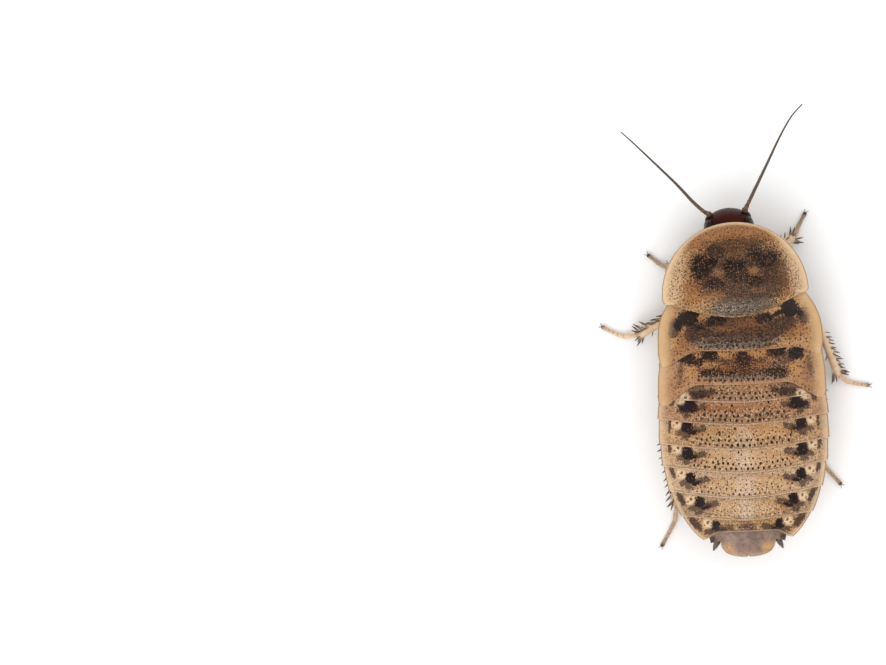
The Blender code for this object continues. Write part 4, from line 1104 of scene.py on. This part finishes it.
# Corners, width and thickness of each limb form, then its profile: (place, radius) as shares
limbForms = {
    "coxa": (20, 1.0, 0.68, ((0.0, 0.3), (0.04, 0.55), (0.12, 0.85), (0.3, 1.0), (0.5, 0.98), (0.72, 0.85),
                             (0.9, 0.6), (1.0, 0.3))),
    "femur": (18, 1.0, 0.6, ((0.0, 0.35), (0.05, 0.6), (0.18, 0.88), (0.4, 1.0), (0.65, 0.9), (0.85, 0.68),
                             (0.95, 0.6), (1.0, 0.35))),
    "tibia": (16, 0.9, 1.0, ((0.0, 0.45), (0.02, 0.72), (0.08, 0.86), (0.3, 0.92), (0.6, 0.97), (0.9, 1.04),
                             (0.98, 0.95), (1.0, 0.6))),
    "tarsus": (12, 1.0, 0.92, ((0.0, 0.7), (0.12, 0.82), (0.6, 0.9), (0.88, 0.97), (1.0, 0.75))),
    "palp": (14, 1.0, 1.0, ((0.0, 0.6), (0.15, 0.85), (0.75, 1.1), (1.02, 0.7))),
}


def limbForm(kind, length, radius):
    corners, wide, thick, profile = limbForms[kind]
    form = turnedForm(kind, [(share * length, size * radius) for share, size in profile], corners)
    form.scale = (wide, thick, 1.0)
    applyPlace(form)
    return form


def smoothCurve(points, steps):
    padded = [points[0] * 2.0 - points[1], *points, points[-1] * 2.0 - points[-2]]
    result = []
    for i in range(1, len(padded) - 2):
        before, a, b, after = padded[i - 1:i + 3]
        for step in range(steps):
            t = step / steps
            result.append((a * 2.0 + (b - before) * t
                           + (before * 2.0 - a * 5.0 + b * 4.0 - after) * t ** 2
                           + (a * 3.0 - before - b * 3.0 + after) * t ** 3) * 0.5)
    result.append(points[-1].copy())
    return result


# Legs: the knee, then the ankle and the joints of the foot in plan

legPaths = {
    "front_left": ((-2.9, 11.1, 2.3), (-6.11, 10.49), (-6.95, 10.98), (-7.8, 11.72)),
    "front_right": ((2.2, 11.3, 2.3), (5.16, 12.78), (5.6, 13.8), (6.22, 14.9)),
    "mid_left": ((-4.35, 7.05, 2.5), (-8.95, 4.64), (-10.2, 4.62), (-11.05, 4.93), (-12.1, 5.55)),
    "mid_right": ((6.85, 5.3, 2.5), (8.62, 0.42), (9.2, -0.05), (10.1, -0.32), (11.25, -0.52)),
    "hind_left": ((-6.64, -3.23, 2.4), (-6.13, -10.56), (-6.2, -11.6), (-6.94, -12.95), (-7.56, -14.0)),
    "hind_right": ((6.4, 0.14, 2.4), (6.6, -6.8), (7.36, -7.82), (8.45, -9.15)),
}
# For both legs of a pair: root and tip of the right coxa, radius of coxa and femur, darkness of the foot
pairForm = {
    "front": ((1.1, 11.4, 2.45), (1.0, 7.9, 1.65), 0.78, 0.6, 0.42),
    "mid": ((1.6, 6.5, 2.3), (1.35, 2.9, 1.5), 1.2, 0.68, 0.06),
    "hind": ((1.8, 1.7, 2.2), (1.5, -2.1, 1.5), 1.4, 0.72, 0.3),
}
legForm = {"hip": (0.9, -0.4, -0.2), "tibiaRadius": 0.43, "ankleHeight": 0.85, "tarsusRadius": 0.245,
           "tarsusHeight": 0.2, "claw": 0.42, "clawSpread": 30.0, "angle": 50.0, "floorGap": 0.004}
trochanter = ((0.0, 0.22), (0.3, 0.36), (0.8, 0.34), (1.15, 0.2))
spineForm = {"sink": 0.78, "places": 0.015, "angles": 8.0, "leans": 4.0, "sizes": (0.88, 1.08),
             "bendFrom": 0.7, "bendLean": 22.0, "floorGap": 0.08, "spurAt": 0.96, "spurLean": 52.0}
# Spines of a thigh: number, first place and step along it, how far out, lean outward, forward and
# down, and size
thighSpines = {"count": 5, "first": 0.35, "step": 0.12, "out": 0.62, "lean": (0.6, 0.7, 0.35), "size": 0.5}
# Spine rows of each shin: count, angle round it (0 outward, 90 up), first and last place along it,
# lean towards the foot at both, and length at both
hindUnder = ((6, 172.0, 0.25, 0.92, 40.0, 50.0, 0.7, 0.95), (6, -65.0, 0.25, 0.9, 45.0, 55.0, 0.7, 0.9))
spineRows = {
    "front_left": ((4, 15.0, 0.3, 0.7, 30.0, 45.0, 0.5, 0.6), (3, 60.0, 0.4, 0.75, 40.0, 50.0, 0.4, 0.5),
                   (3, 170.0, 0.35, 0.7, 30.0, 45.0, 0.5, 0.6)),
    "front_right": ((4, 15.0, 0.45, 0.9, 30.0, 45.0, 0.55, 0.65),
                    (3, 60.0, 0.55, 0.9, 40.0, 50.0, 0.45, 0.6),
                    (3, 170.0, 0.55, 0.9, 30.0, 45.0, 0.5, 0.65)),
    "mid_left": ((7, 14.0, 0.2, 0.9, 58.0, 64.0, 0.8, 0.95), (6, 55.0, 0.26, 0.86, 60.0, 66.0, 0.7, 0.85),
                 (2, 182.0, 0.74, 0.94, 35.0, 42.0, 0.55, 0.75),
                 (4, -60.0, 0.3, 0.85, 45.0, 55.0, 0.6, 0.8)),
    "mid_right": ((11, 8.0, 0.22, 0.93, 20.0, 40.0, 0.5, 0.65), (7, 40.0, 0.3, 0.9, 30.0, 45.0, 0.5, 0.6),
                  (2, 180.0, 0.6, 0.9, 45.0, 50.0, 0.5, 0.7), (4, -60.0, 0.3, 0.85, 40.0, 50.0, 0.6, 0.8)),
    "hind_left": ((10, 8.0, 0.2, 0.94, 12.0, 42.0, 0.95, 0.7), (6, 55.0, 0.2, 0.9, 40.0, 50.0, 0.6, 0.8),
                  *hindUnder),
    "hind_right": ((9, 8.0, 0.12, 0.94, 12.0, 50.0, 0.95, 0.6), (6, 55.0, 0.2, 0.9, 40.0, 55.0, 0.6, 0.6),
                   *hindUnder),
}
# Spurs at the end of a shin, as (angle, length), and how much shorter they are on some legs
spurs = ((-15.0, 0.9), (35.0, 0.75), (120.0, 0.7), (-135.0, 0.9), (178.0, 0.85))
spurScale = {"front_left": 0.45, "hind_right": 0.55, "hind_left": 0.8}
# Foot joints: where each begins and ends along the foot, and their radii, all as shares
footCuts = (0.0, 0.4, 0.56, 0.68, 0.78, 1.0)
footRadii = (1.0, 0.93, 0.88, 0.84, 0.84)


def paintLeg():
    bench = newPaint("legHorn")
    fine = bench.noise(6.0, 4.0, 0.7)
    broad = bench.fall(bench.noise(1.1, 4.0), 0.3, 0.7)
    colour = bench.blend(broad, tone(234, 206, 174), tone(214, 180, 142))
    colour = bench.over(colour, tone(168, 122, 88), bench.fall(fine, 0.48, 0.72), 0.35)
    colour = bench.blend(bench.measure("dusk"), colour, tone(62, 42, 34))
    return bench.finish(colour, (0.32, 0.48), fine, bump=(0.3, 0.04), glow=(0.12, (0.5, 0.25, 0.12)))


legHorn = paintLeg()


def dusky(piece, levelOf):
    # How dark each point of a leg piece is, from levelOf(z) before the piece is aimed
    writeMeasure(piece, "dusk", [levelOf(vertex.co.z) for vertex in piece.data.vertices])
    piece.data.materials.append(legHorn)
    return piece


def thorn(name, stations, hook, levelOf):
    # A spine or claw of length 1, bent down towards its tip
    form = turnedForm(name, stations, 8, 0)
    for vertex in form.data.vertices:
        vertex.co.y -= hook * vertex.co.z ** 2
    return dusky(form, levelOf)


spineModel = thorn("spine", ((0.0, 0.14), (0.2, 0.13), (0.5, 0.105), (0.8, 0.062), (1.0, 0.016)), 0.09,
                   lambda z: 0.45 + 0.45 * ease(0.05, 0.5, z))
clawModel = thorn("claw", ((0.0, 0.1), (0.25, 0.095), (0.55, 0.07), (0.85, 0.04), (1.0, 0.012)), 0.35,
                  lambda z: 0.85)


def makeCoxa(root, tip, hip, radius):
    length = (tip - root).length
    shell = dusky(limbForm("coxa", length, radius), lambda z: 0.35 + 0.25 * ease(0.7 * length, length, z))
    link = dusky(turnedForm("trochanter", trochanter, 14), lambda z: 0.4)
    inward = -math.copysign(0.1, tip.x)
    return [aimed(shell, root, tip), aimed(link, tip + Vector((inward, 0.15, 0.05)), hip)]


def makeFemur(start, knee, radius):
    # The thigh with a row of short spines along both sides, which lean down and forward
    length = (knee - start).length
    way = (knee - start).normalized()
    side = way.cross(upward).normalized()
    femur = dusky(limbForm("femur", length, radius), lambda z: 0.15 + 0.3 * ease(0.85, 1.0, z / length))
    pieces = [aimed(femur, start, knee)]
    out, forward, down = thighSpines["lean"]
    for i in range(thighSpines["count"]):
        middle = start.lerp(knee, thighSpines["first"] + thighSpines["step"] * i)
        for turn in (-1.0, 1.0):
            root = middle + side * radius * thighSpines["out"] * turn
            lean = (side * turn * out + way * forward - upward * down).normalized()
            pieces.append(aimed(ownCopy(spineModel), root, root + lean, size=thighSpines["size"]))
    return pieces


def makeTibia(start, end, foot, name):
    length = (end - start).length
    radius = legForm["tibiaRadius"]
    tibia = dusky(limbForm("tibia", length, radius),
                  lambda z: 0.3 * ease(0.9, 1.0, z / length) + 0.25 * ease(0.08, 0.0, z / length))
    pieces = [aimed(tibia, start, end)]
    axis = (end - start).normalized()
    out = axis.cross(upward).normalized()
    if out.dot(start.lerp(end, 0.5) - Vector((0.0, 2.0, 0.0))) < 0.0:
        out = -out
    over = out.cross(axis).normalized()
    if over.z < 0.0:
        over = -over
    bend = foot - axis * foot.dot(axis)

    def jitter(amount):
        return draw.uniform(-amount, amount)

    def addSpine(share, angle, lean, reach):
        turn = math.radians(angle + jitter(spineForm["angles"]))
        side = out * math.cos(turn) + over * math.sin(turn)
        root = start.lerp(end, share) + side * radius * spineForm["sink"]
        if share > spineForm["bendFrom"] and side.dot(bend) > 0.1:
            lean = min(lean, spineForm["bendLean"])   # leaves room for the foot
        lean = math.radians(lean + jitter(spineForm["leans"]))
        way = side * math.cos(lean) + axis * math.sin(lean)
        reach *= draw.uniform(*spineForm["sizes"])
        if way.z < -0.01:
            reach = min(reach, (root.z - spineForm["floorGap"]) / -way.z)   # ends above the floor
        pieces.append(aimed(ownCopy(spineModel), root, root + way, side, reach))

    for count, angle, first, last, leanFirst, leanLast, reachFirst, reachLast in spineRows[name]:
        for i in range(count):
            t = i / (count - 1)
            addSpine(mix(first, last, t) + jitter(spineForm["places"]), angle, mix(leanFirst, leanLast, t),
                     mix(reachFirst, reachLast, t))
    for angle, reach in spurs:
        addSpine(spineForm["spurAt"], angle, spineForm["spurLean"], reach * spurScale.get(name, 1.0))
    return pieces


def makeFoot(ankle, toes, dusk):
    # Five foot joints, each widening to its end, the last one dark and with two claws
    path = smoothCurve([ankle, ankle.lerp(toes[0], 0.6) - upward * 0.12, *toes], 8)
    total = sum((b - a).length for a, b in zip(path, path[1:]))

    def at(share):
        left = share * total
        for a, b in zip(path, path[1:]):
            step = (b - a).length
            if left <= step:
                return a.lerp(b, left / step)
            left -= step
        return path[-1]

    def plainLevel(z):
        return dusk + 0.4 * ease(0.86, 1.0, z / length)

    def lastLevel(z):
        return dusk + 0.15 + 0.55 * ease(0.45, 1.0, z / length)

    pieces = []
    for low, high, size in zip(footCuts, footCuts[1:], footRadii):
        start, end = at(low), at(high)
        length = (end - start).length * 1.04
        joint = limbForm("tarsus", length, legForm["tarsusRadius"] * size)
        pieces.append(aimed(dusky(joint, lastLevel if high == 1.0 else plainLevel), start, end))
    ahead = (at(1.0) - at(0.93)).normalized()
    root = at(1.0) - ahead * 0.05 + upward * 0.06
    for turn in (-legForm["clawSpread"], legForm["clawSpread"]):
        way = Matrix.Rotation(math.radians(turn), 3, "Z") @ ahead
        pieces.append(aimed(ownCopy(clawModel), root, root + way, size=legForm["claw"]))
    return pieces


def makeLeg(name):
    pair, side = name.split("_")
    *coxaEnds, coxaRadius, femurRadius, dusk = pairForm[pair]
    sign = dict(leftRight)[side]
    root, tip, hipShift = (Vector((x * sign, y, z)) for x, y, z in (*coxaEnds, legForm["hip"]))
    hip = tip + hipShift
    knee, ankle, *toes = legPaths[name]
    knee = Vector(knee)
    ankle = Vector((*ankle, legForm["ankleHeight"]))
    toes = [Vector((*toe, legForm["tarsusHeight"])) for toe in toes]
    foot = (toes[0] - ankle).normalized()
    for part, slot, pieces in (("coxa_", "underside", makeCoxa(root, tip, hip, coxaRadius)),
                               ("femur_", "leg_shell", makeFemur(hip, knee, femurRadius)),
                               ("tibia_", "leg_shell", makeTibia(knee, ankle, foot, name)),
                               ("tarsus_", "leg_shell", makeFoot(ankle, toes, dusk))):
        piece = joinInto(part + name, pieces)
        for vertex in piece.data.vertices:
            vertex.co.z = max(vertex.co.z, legForm["floorGap"])
        settle(piece, slot, [part + name], angle=legForm["angle"])


for legName in legPaths:
    makeLeg(legName)
for model in (spineModel, clawModel):
    bpy.data.objects.remove(model, do_unlink=True)
print("stage: legs")


# Cerci

cercusForm = {"radii": (0.28, 0.3, 0.29, 0.26, 0.22, 0.16, 0.09), "ring": 0.15, "crest": 0.08,
              "waist": 0.86, "tip": (1.04, 0.03), "root": (2.62, -13.6, 4.1), "aim": (3.12, -14.6, 4.0),
              "size": 1.02}


def paintCercus():
    bench = newPaint("cercusHorn")
    rings = bench.noise(5.0)
    colour = bench.blend(bench.fall(rings, 0.35, 0.65), tone(112, 100, 90), tone(72, 62, 54))
    return bench.finish(colour, (0.4, 0.55), rings)


cercusHorn = paintCercus()
cercusStations = []
for i, radius in enumerate(cercusForm["radii"]):
    start = cercusForm["ring"] * i
    cercusStations += [(start, radius * cercusForm["waist"]), (start + cercusForm["crest"], radius)]
cercusStations.append(cercusForm["tip"])
for side, sign in leftRight:
    cercus = turnedForm("cercus_" + side, cercusStations, 14)
    cercus.data.materials.append(cercusHorn)
    root, aim = (Vector((x * sign, y, z)) for x, y, z in (cercusForm["root"], cercusForm["aim"]))
    aimed(cercus, root, aim, size=cercusForm["size"])
    settle(cercus, "tail_shell", ["cercus_" + side], angle=60.0)
print("stage: cerci")


# Head, eyes and feelers

headForm = {"centre": Vector((0.0, 14.0, 3.0)), "radii": (2.2, 1.6, 2.0), "voxel": 0.06, "narrow": 0.38,
            "back": 0.45, "angle": 60.0}
# Forms fused into the capsule: place from its middle, and radii
headParts = (((0.0, 0.82, -1.0), (1.0, 0.42, 0.62)),     # face shield
             ((0.0, 0.68, -1.72), (0.72, 0.26, 0.4)),    # upper lip
             ((0.0, -0.35, -1.85), (0.62, 0.3, 0.4)))    # lower lip
headPairs = (((0.82, 0.35, -1.5), (0.44, 0.46, 0.58)),   # jaws
             ((1.15, -0.15, -1.1), (0.42, 0.6, 0.55)),   # cheeks
             ((1.55, 0.6, 0.4), (0.5, 0.6, 0.62)))       # brows
# Outer and inner palp: their joints from the capsule's middle, and the radius of each
palps = ((((0.75, -0.2, -1.5), (1.1, -0.1, -1.95), (1.3, 0.4, -1.9), (1.3, 0.75, -2.1), (1.12, 0.85, -2.55)),
          (0.15, 0.17, 0.16, 0.18)),
         (((0.3, -0.45, -1.95), (0.5, -0.5, -2.25), (0.62, -0.2, -2.5), (0.55, 0.1, -2.62)),
          (0.12, 0.13, 0.13)))


def ball(name, centre, radii, segments=48, rings=32):
    pickOnly()
    bpy.ops.mesh.primitive_uv_sphere_add(segments=segments, ring_count=rings, radius=1.0, location=centre,
                                         scale=radii)
    piece = justAdded(name)
    applyPlace(piece)
    return piece


def headAt(place, sign=1.0):
    return headForm["centre"] + Vector((place[0] * sign, place[1], place[2]))


def groove(distance, width, depth):
    return -depth * math.exp(-(distance / width) ** 2)


def seamDepth(x, y, z):
    # The forked seam over the crown, then the seams of face shield, upper lip and jaws
    sink = 0.0
    if y <= -0.6:
        return sink
    if z > -0.35:
        sink += groove(x - 0.55 * max(0.75 - z, 0.0), 0.06, 0.045)
    face = ease(0.2, 0.5, y)
    sink += face * ease(1.2, 1.0, x) * groove(z + 0.5 - 0.12 * x * x, 0.06, 0.05)
    sink += face * ease(0.85, 0.7, x) * groove(z + 1.38, 0.06, 0.06)
    return sink + face * ease(-1.35, -1.5, z) * groove(x - 0.66, 0.07, 0.06)


def makeHead():
    # The capsule hangs down and narrows to the mouth; its seams are sunk into it afterwards
    middle = headForm["centre"]
    capsule = ball("capsule", middle, headForm["radii"], 80, 60)
    for vertex in capsule.data.vertices:
        fall = max(middle.z - vertex.co.z, 0.0) / headForm["radii"][2]
        vertex.co.x *= 1.0 - headForm["narrow"] * fall
        vertex.co.y -= headForm["back"] * fall ** 2
    parts = [capsule] + [ball("facePart", headAt(place), radii) for place, radii in headParts]
    for _, sign in leftRight:
        parts += [ball("facePart", headAt(place, sign), radii) for place, radii in headPairs]
    head = joinInto("headShell", parts)
    applyModifier(head, "REMESH", mode="VOXEL", voxel_size=headForm["voxel"])
    applyModifier(head, "SMOOTH", factor=0.5, iterations=4)
    normals = [vertex.normal.copy() for vertex in head.data.vertices]
    windows = []
    for vertex, normal in zip(head.data.vertices, normals):
        x, y, z = vertex.co - middle
        vertex.co += normal * seamDepth(abs(x), y, z)
        windows.append(ease(0.2, 0.12, Vector((abs(x) - 1.08, y - 1.2, z - 0.35)).length))
    writeMeasure(head, "window", windows)
    parts = [head]
    for _, sign in leftRight:
        for places, radii in palps:
            points = [headAt(place, sign) for place in places]
            for a, b, radius in zip(points, points[1:], radii):
                joint = aimed(limbForm("palp", (b - a).length, radius), a, b)
                writeMeasure(joint, "window", 0.45)
                parts.append(joint)
    return joinInto("headShell", parts)


def paintHead():
    bench = newPaint("headHorn", True)
    fine = bench.noise(5.0, 4.0, 0.7)
    height = bench.add("SeparateXYZ", {0: bench.place}).outputs["Z"]
    crown = bench.marks(bench.warped(0.3, 0.2), [(0.1, 14.3, 1.5, 1.1)])
    colour = bench.blend(bench.fall(bench.noise(0.9, 4.0), 0.3, 0.7), tone(46, 29, 21), tone(34, 21, 16))
    colour = bench.over(colour, tone(80, 40, 22), crown, 0.7)
    colour = bench.over(colour, tone(112, 66, 42), bench.fall(height, 3.4, 2.2), 0.45)
    colour = bench.over(colour, tone(182, 132, 86), bench.fall(height, 2.1, 1.2), 0.7)
    colour = bench.blend(bench.measure("window"), colour, tone(214, 176, 126))
    return bench.finish(colour, (0.3, 0.44), fine, bump=(0.25, 0.05), specular=0.14)


def paintEye():
    bench = newPaint("eyeLens", True)
    facets = bench.add("TexVoronoi", {"Vector": bench.place, "Scale": 14.0, "Randomness": 0.3})
    facets = facets.outputs["Distance"]
    colour = bench.blend(bench.fall(bench.noise(1.4, 2.0), 0.35, 0.65), tone(42, 31, 26), tone(62, 47, 38))
    return bench.finish(colour, (0.26, 0.4), facets, span=(0.1, 0.7), bump=(0.4, 0.03), dented=True)


headShell = makeHead()
headShell.data.materials.clear()
headShell.data.materials.append(paintHead())
settle(headShell, "head_shell", ["head"], True, headForm["angle"])

eyeForm = {"centre": (1.74, 14.0, 3.84), "radii": (0.48, 0.82, 0.9), "hollow": 0.24}
eyeLens = paintEye()
for side, sign in leftRight:
    x, y, z = eyeForm["centre"]
    eye = ball("eye_" + side, Vector((x * sign, y, z)), eyeForm["radii"], 48, 36)
    for vertex in eye.data.vertices:
        # The inner front edge is hollowed out round the feeler's socket
        hollow = math.exp(-((vertex.co.z - z + 0.15) / 0.38) ** 2) * ease(-0.1, 0.5, vertex.co.y - y)
        vertex.co.y -= eyeForm["hollow"] * hollow
    eye.data.materials.append(eyeLens)
    settle(eye, "eye", ["eye_" + side], True, headForm["angle"])
print("stage: head and eyes")

feelerPaths = {
    "antenna_left": ((-2.05, 14.95, 3.45), (-2.58, 15.17, 3.92), (-3.69, 16.2, 4.2), (-5.13, 17.85, 4.4),
                     (-7.24, 20.04, 4.3), (-8.85, 21.69, 3.9), (-9.79, 22.6, 3.6)),
    "antenna_right": ((0.72, 15.1, 3.5), (0.88, 15.38, 3.85), (1.75, 17.05, 4.2), (2.9, 19.25, 4.4),
                      (3.88, 21.15, 4.25), (4.6, 22.42, 4.0), (5.32, 23.5, 3.8), (6.24, 24.45, 3.5)),
}
# First and second joint as (length, radius), then the length and the radii of the others
feelerForm = {"first": (0.9, 0.21), "second": (0.35, 0.18), "joint": 0.2, "overlap": 1.03, "steps": 24,
              "radii": ((0.0, 0.19), (0.15, 0.17), (0.4, 0.13), (0.75, 0.085), (1.0, 0.055))}
# Stations of the low collar of skin round the socket, and of one joint
collarForm = ((0.2, 0.2), (0.3, 0.28), (0.4, 0.3), (0.5, 0.26), (0.55, 0.18))
beadForm = ((0.0, 0.7), (0.1, 0.88), (0.55, 1.0), (0.88, 0.94), (1.0, 0.7))


def paintFeeler():
    # Paler at the root, darker along the stem, with a dark ring between the joints
    bench = newPaint("feelerHorn")
    fine = bench.noise(4.0)
    stem = bench.measure("stem")
    colour = bench.blend(bench.fall(stem, 0.6, 2.4), tone(138, 110, 82), tone(106, 90, 74))
    colour = bench.blend(bench.fall(stem, 4.0, 11.0), colour, tone(84, 72, 62))
    colour = bench.over(colour, tone(62, 48, 38), bench.measure("ring"), 0.75)
    colour = bench.over(colour, tone(92, 72, 56), bench.fall(fine, 0.35, 0.65), 0.35)
    return bench.finish(colour, (0.45, 0.6), fine)


def makeFeeler(name, points, bead):
    path = smoothCurve([Vector(point) for point in points], feelerForm["steps"])
    total = sum((b - a).length for a, b in zip(path, path[1:]))
    collar = turnedForm("socketCollar", collarForm, 20)
    writeMeasure(collar, "ring", 0.9)
    writeMeasure(collar, "stem", 0.0)
    joints = [aimed(collar, path[0], path[feelerForm["steps"]])]
    walked = 0.0
    marker = path[0]
    wanted, radius = feelerForm["first"]
    for point in path[1:]:
        length = (point - marker).length
        if length < wanted and point is not path[-1]:
            continue
        joint = ownCopy(bead)
        writeMeasure(joint, "stem", walked)
        joint.scale = (radius, radius, length * feelerForm["overlap"])
        applyPlace(joint)
        joints.append(aimed(joint, marker, point))
        share = walked / total
        walked += length
        marker = point
        if len(joints) == 2:
            wanted, radius = feelerForm["second"]
        else:
            wanted = feelerForm["joint"] * mix(0.8, 1.3, share)
            radius = along(feelerForm["radii"], walked / total)
    antenna = joinInto(name, joints)
    antenna.data.materials.clear()
    antenna.data.materials.append(feelerHorn)
    settle(antenna, "feeler", [name], angle=50.0)


feelerHorn = paintFeeler()
beadModel = turnedForm("feelerJoint", beadForm, 12, 0)
fromMiddle = [abs(vertex.co.z - 0.5) for vertex in beadModel.data.vertices]
writeMeasure(beadModel, "ring", [ease(0.3, 0.48, distance) for distance in fromMiddle])
for name, points in feelerPaths.items():
    makeFeeler(name, points, beadModel)
bpy.data.objects.remove(beadModel, do_unlink=True)
print("stage: feelers")


# Floor, light and camera

studio = {"floorSize": 3.0, "sky": 1.02, "mirrored": 0.2, "lampSize": 0.5}
# Place in metres and watts
lamps = {"keyLight": ((-0.16, -0.42, 0.46), 1.6), "fillLight": ((0.4, 0.3, 0.4), 0.3)}
view = {"frameMm": 77.97, "sensor": 36.0, "distance": 1.5, "aimPlane": 0.004, "centre": (-26.12, 5.574),
        "roll": -2.2}


def paintFloor():
    bench = newPaint("paleCard")
    colour = bench.blend(bench.noise(0.02, 2.0), (0.93, 0.93, 0.93, 1.0), (0.95, 0.95, 0.945, 1.0))
    return bench.finish(colour, 0.9, specular=0.1)


pickOnly()
bpy.ops.mesh.primitive_plane_add(size=studio["floorSize"])
floor = justAdded("floor")
floor.data.materials.append(paintFloor())

# The sky is dimmed where it is mirrored
world = bpy.data.worlds.new("paleRoom")
bpy.context.scene.world = world
world.use_nodes = True
air = ShaderBench(world.node_tree)
mirrored = air.add("LightPath").outputs["Is Glossy Ray"]
dimming = air.math("MULTIPLY", mirrored, studio["sky"] - studio["mirrored"])
background = world.node_tree.nodes["Background"]
background.inputs["Color"].default_value = (1.0, 1.0, 1.0, 1.0)
world.node_tree.links.new(air.math("SUBTRACT", studio["sky"], dimming), background.inputs["Strength"])

for name, (place, watts) in lamps.items():
    bpy.ops.object.light_add(type="AREA", location=place)
    lamp = bpy.context.active_object
    lamp.name = name
    lamp.data.energy = watts
    lamp.data.size = studio["lampSize"]
    lamp.rotation_euler = (-Vector(place)).to_track_quat("-Z", "Y").to_euler()
    lamp.visible_camera = False

bpy.ops.object.camera_add()
camera = bpy.context.active_object
camera.name = "photoCamera"
camera.data.sensor_width = view["sensor"]
camera.data.lens = view["sensor"] * view["distance"] / (view["frameMm"] * mm)
camera.location = bodyOrigin + Vector((view["centre"][0] * mm, view["centre"][1] * mm,
                                       view["distance"] + view["aimPlane"]))
camera.rotation_euler = (0.0, 0.0, math.radians(view["roll"]))
bpy.context.scene.camera = camera
bpy.context.scene.view_settings.view_transform = "Standard"
print("stage: room and camera")
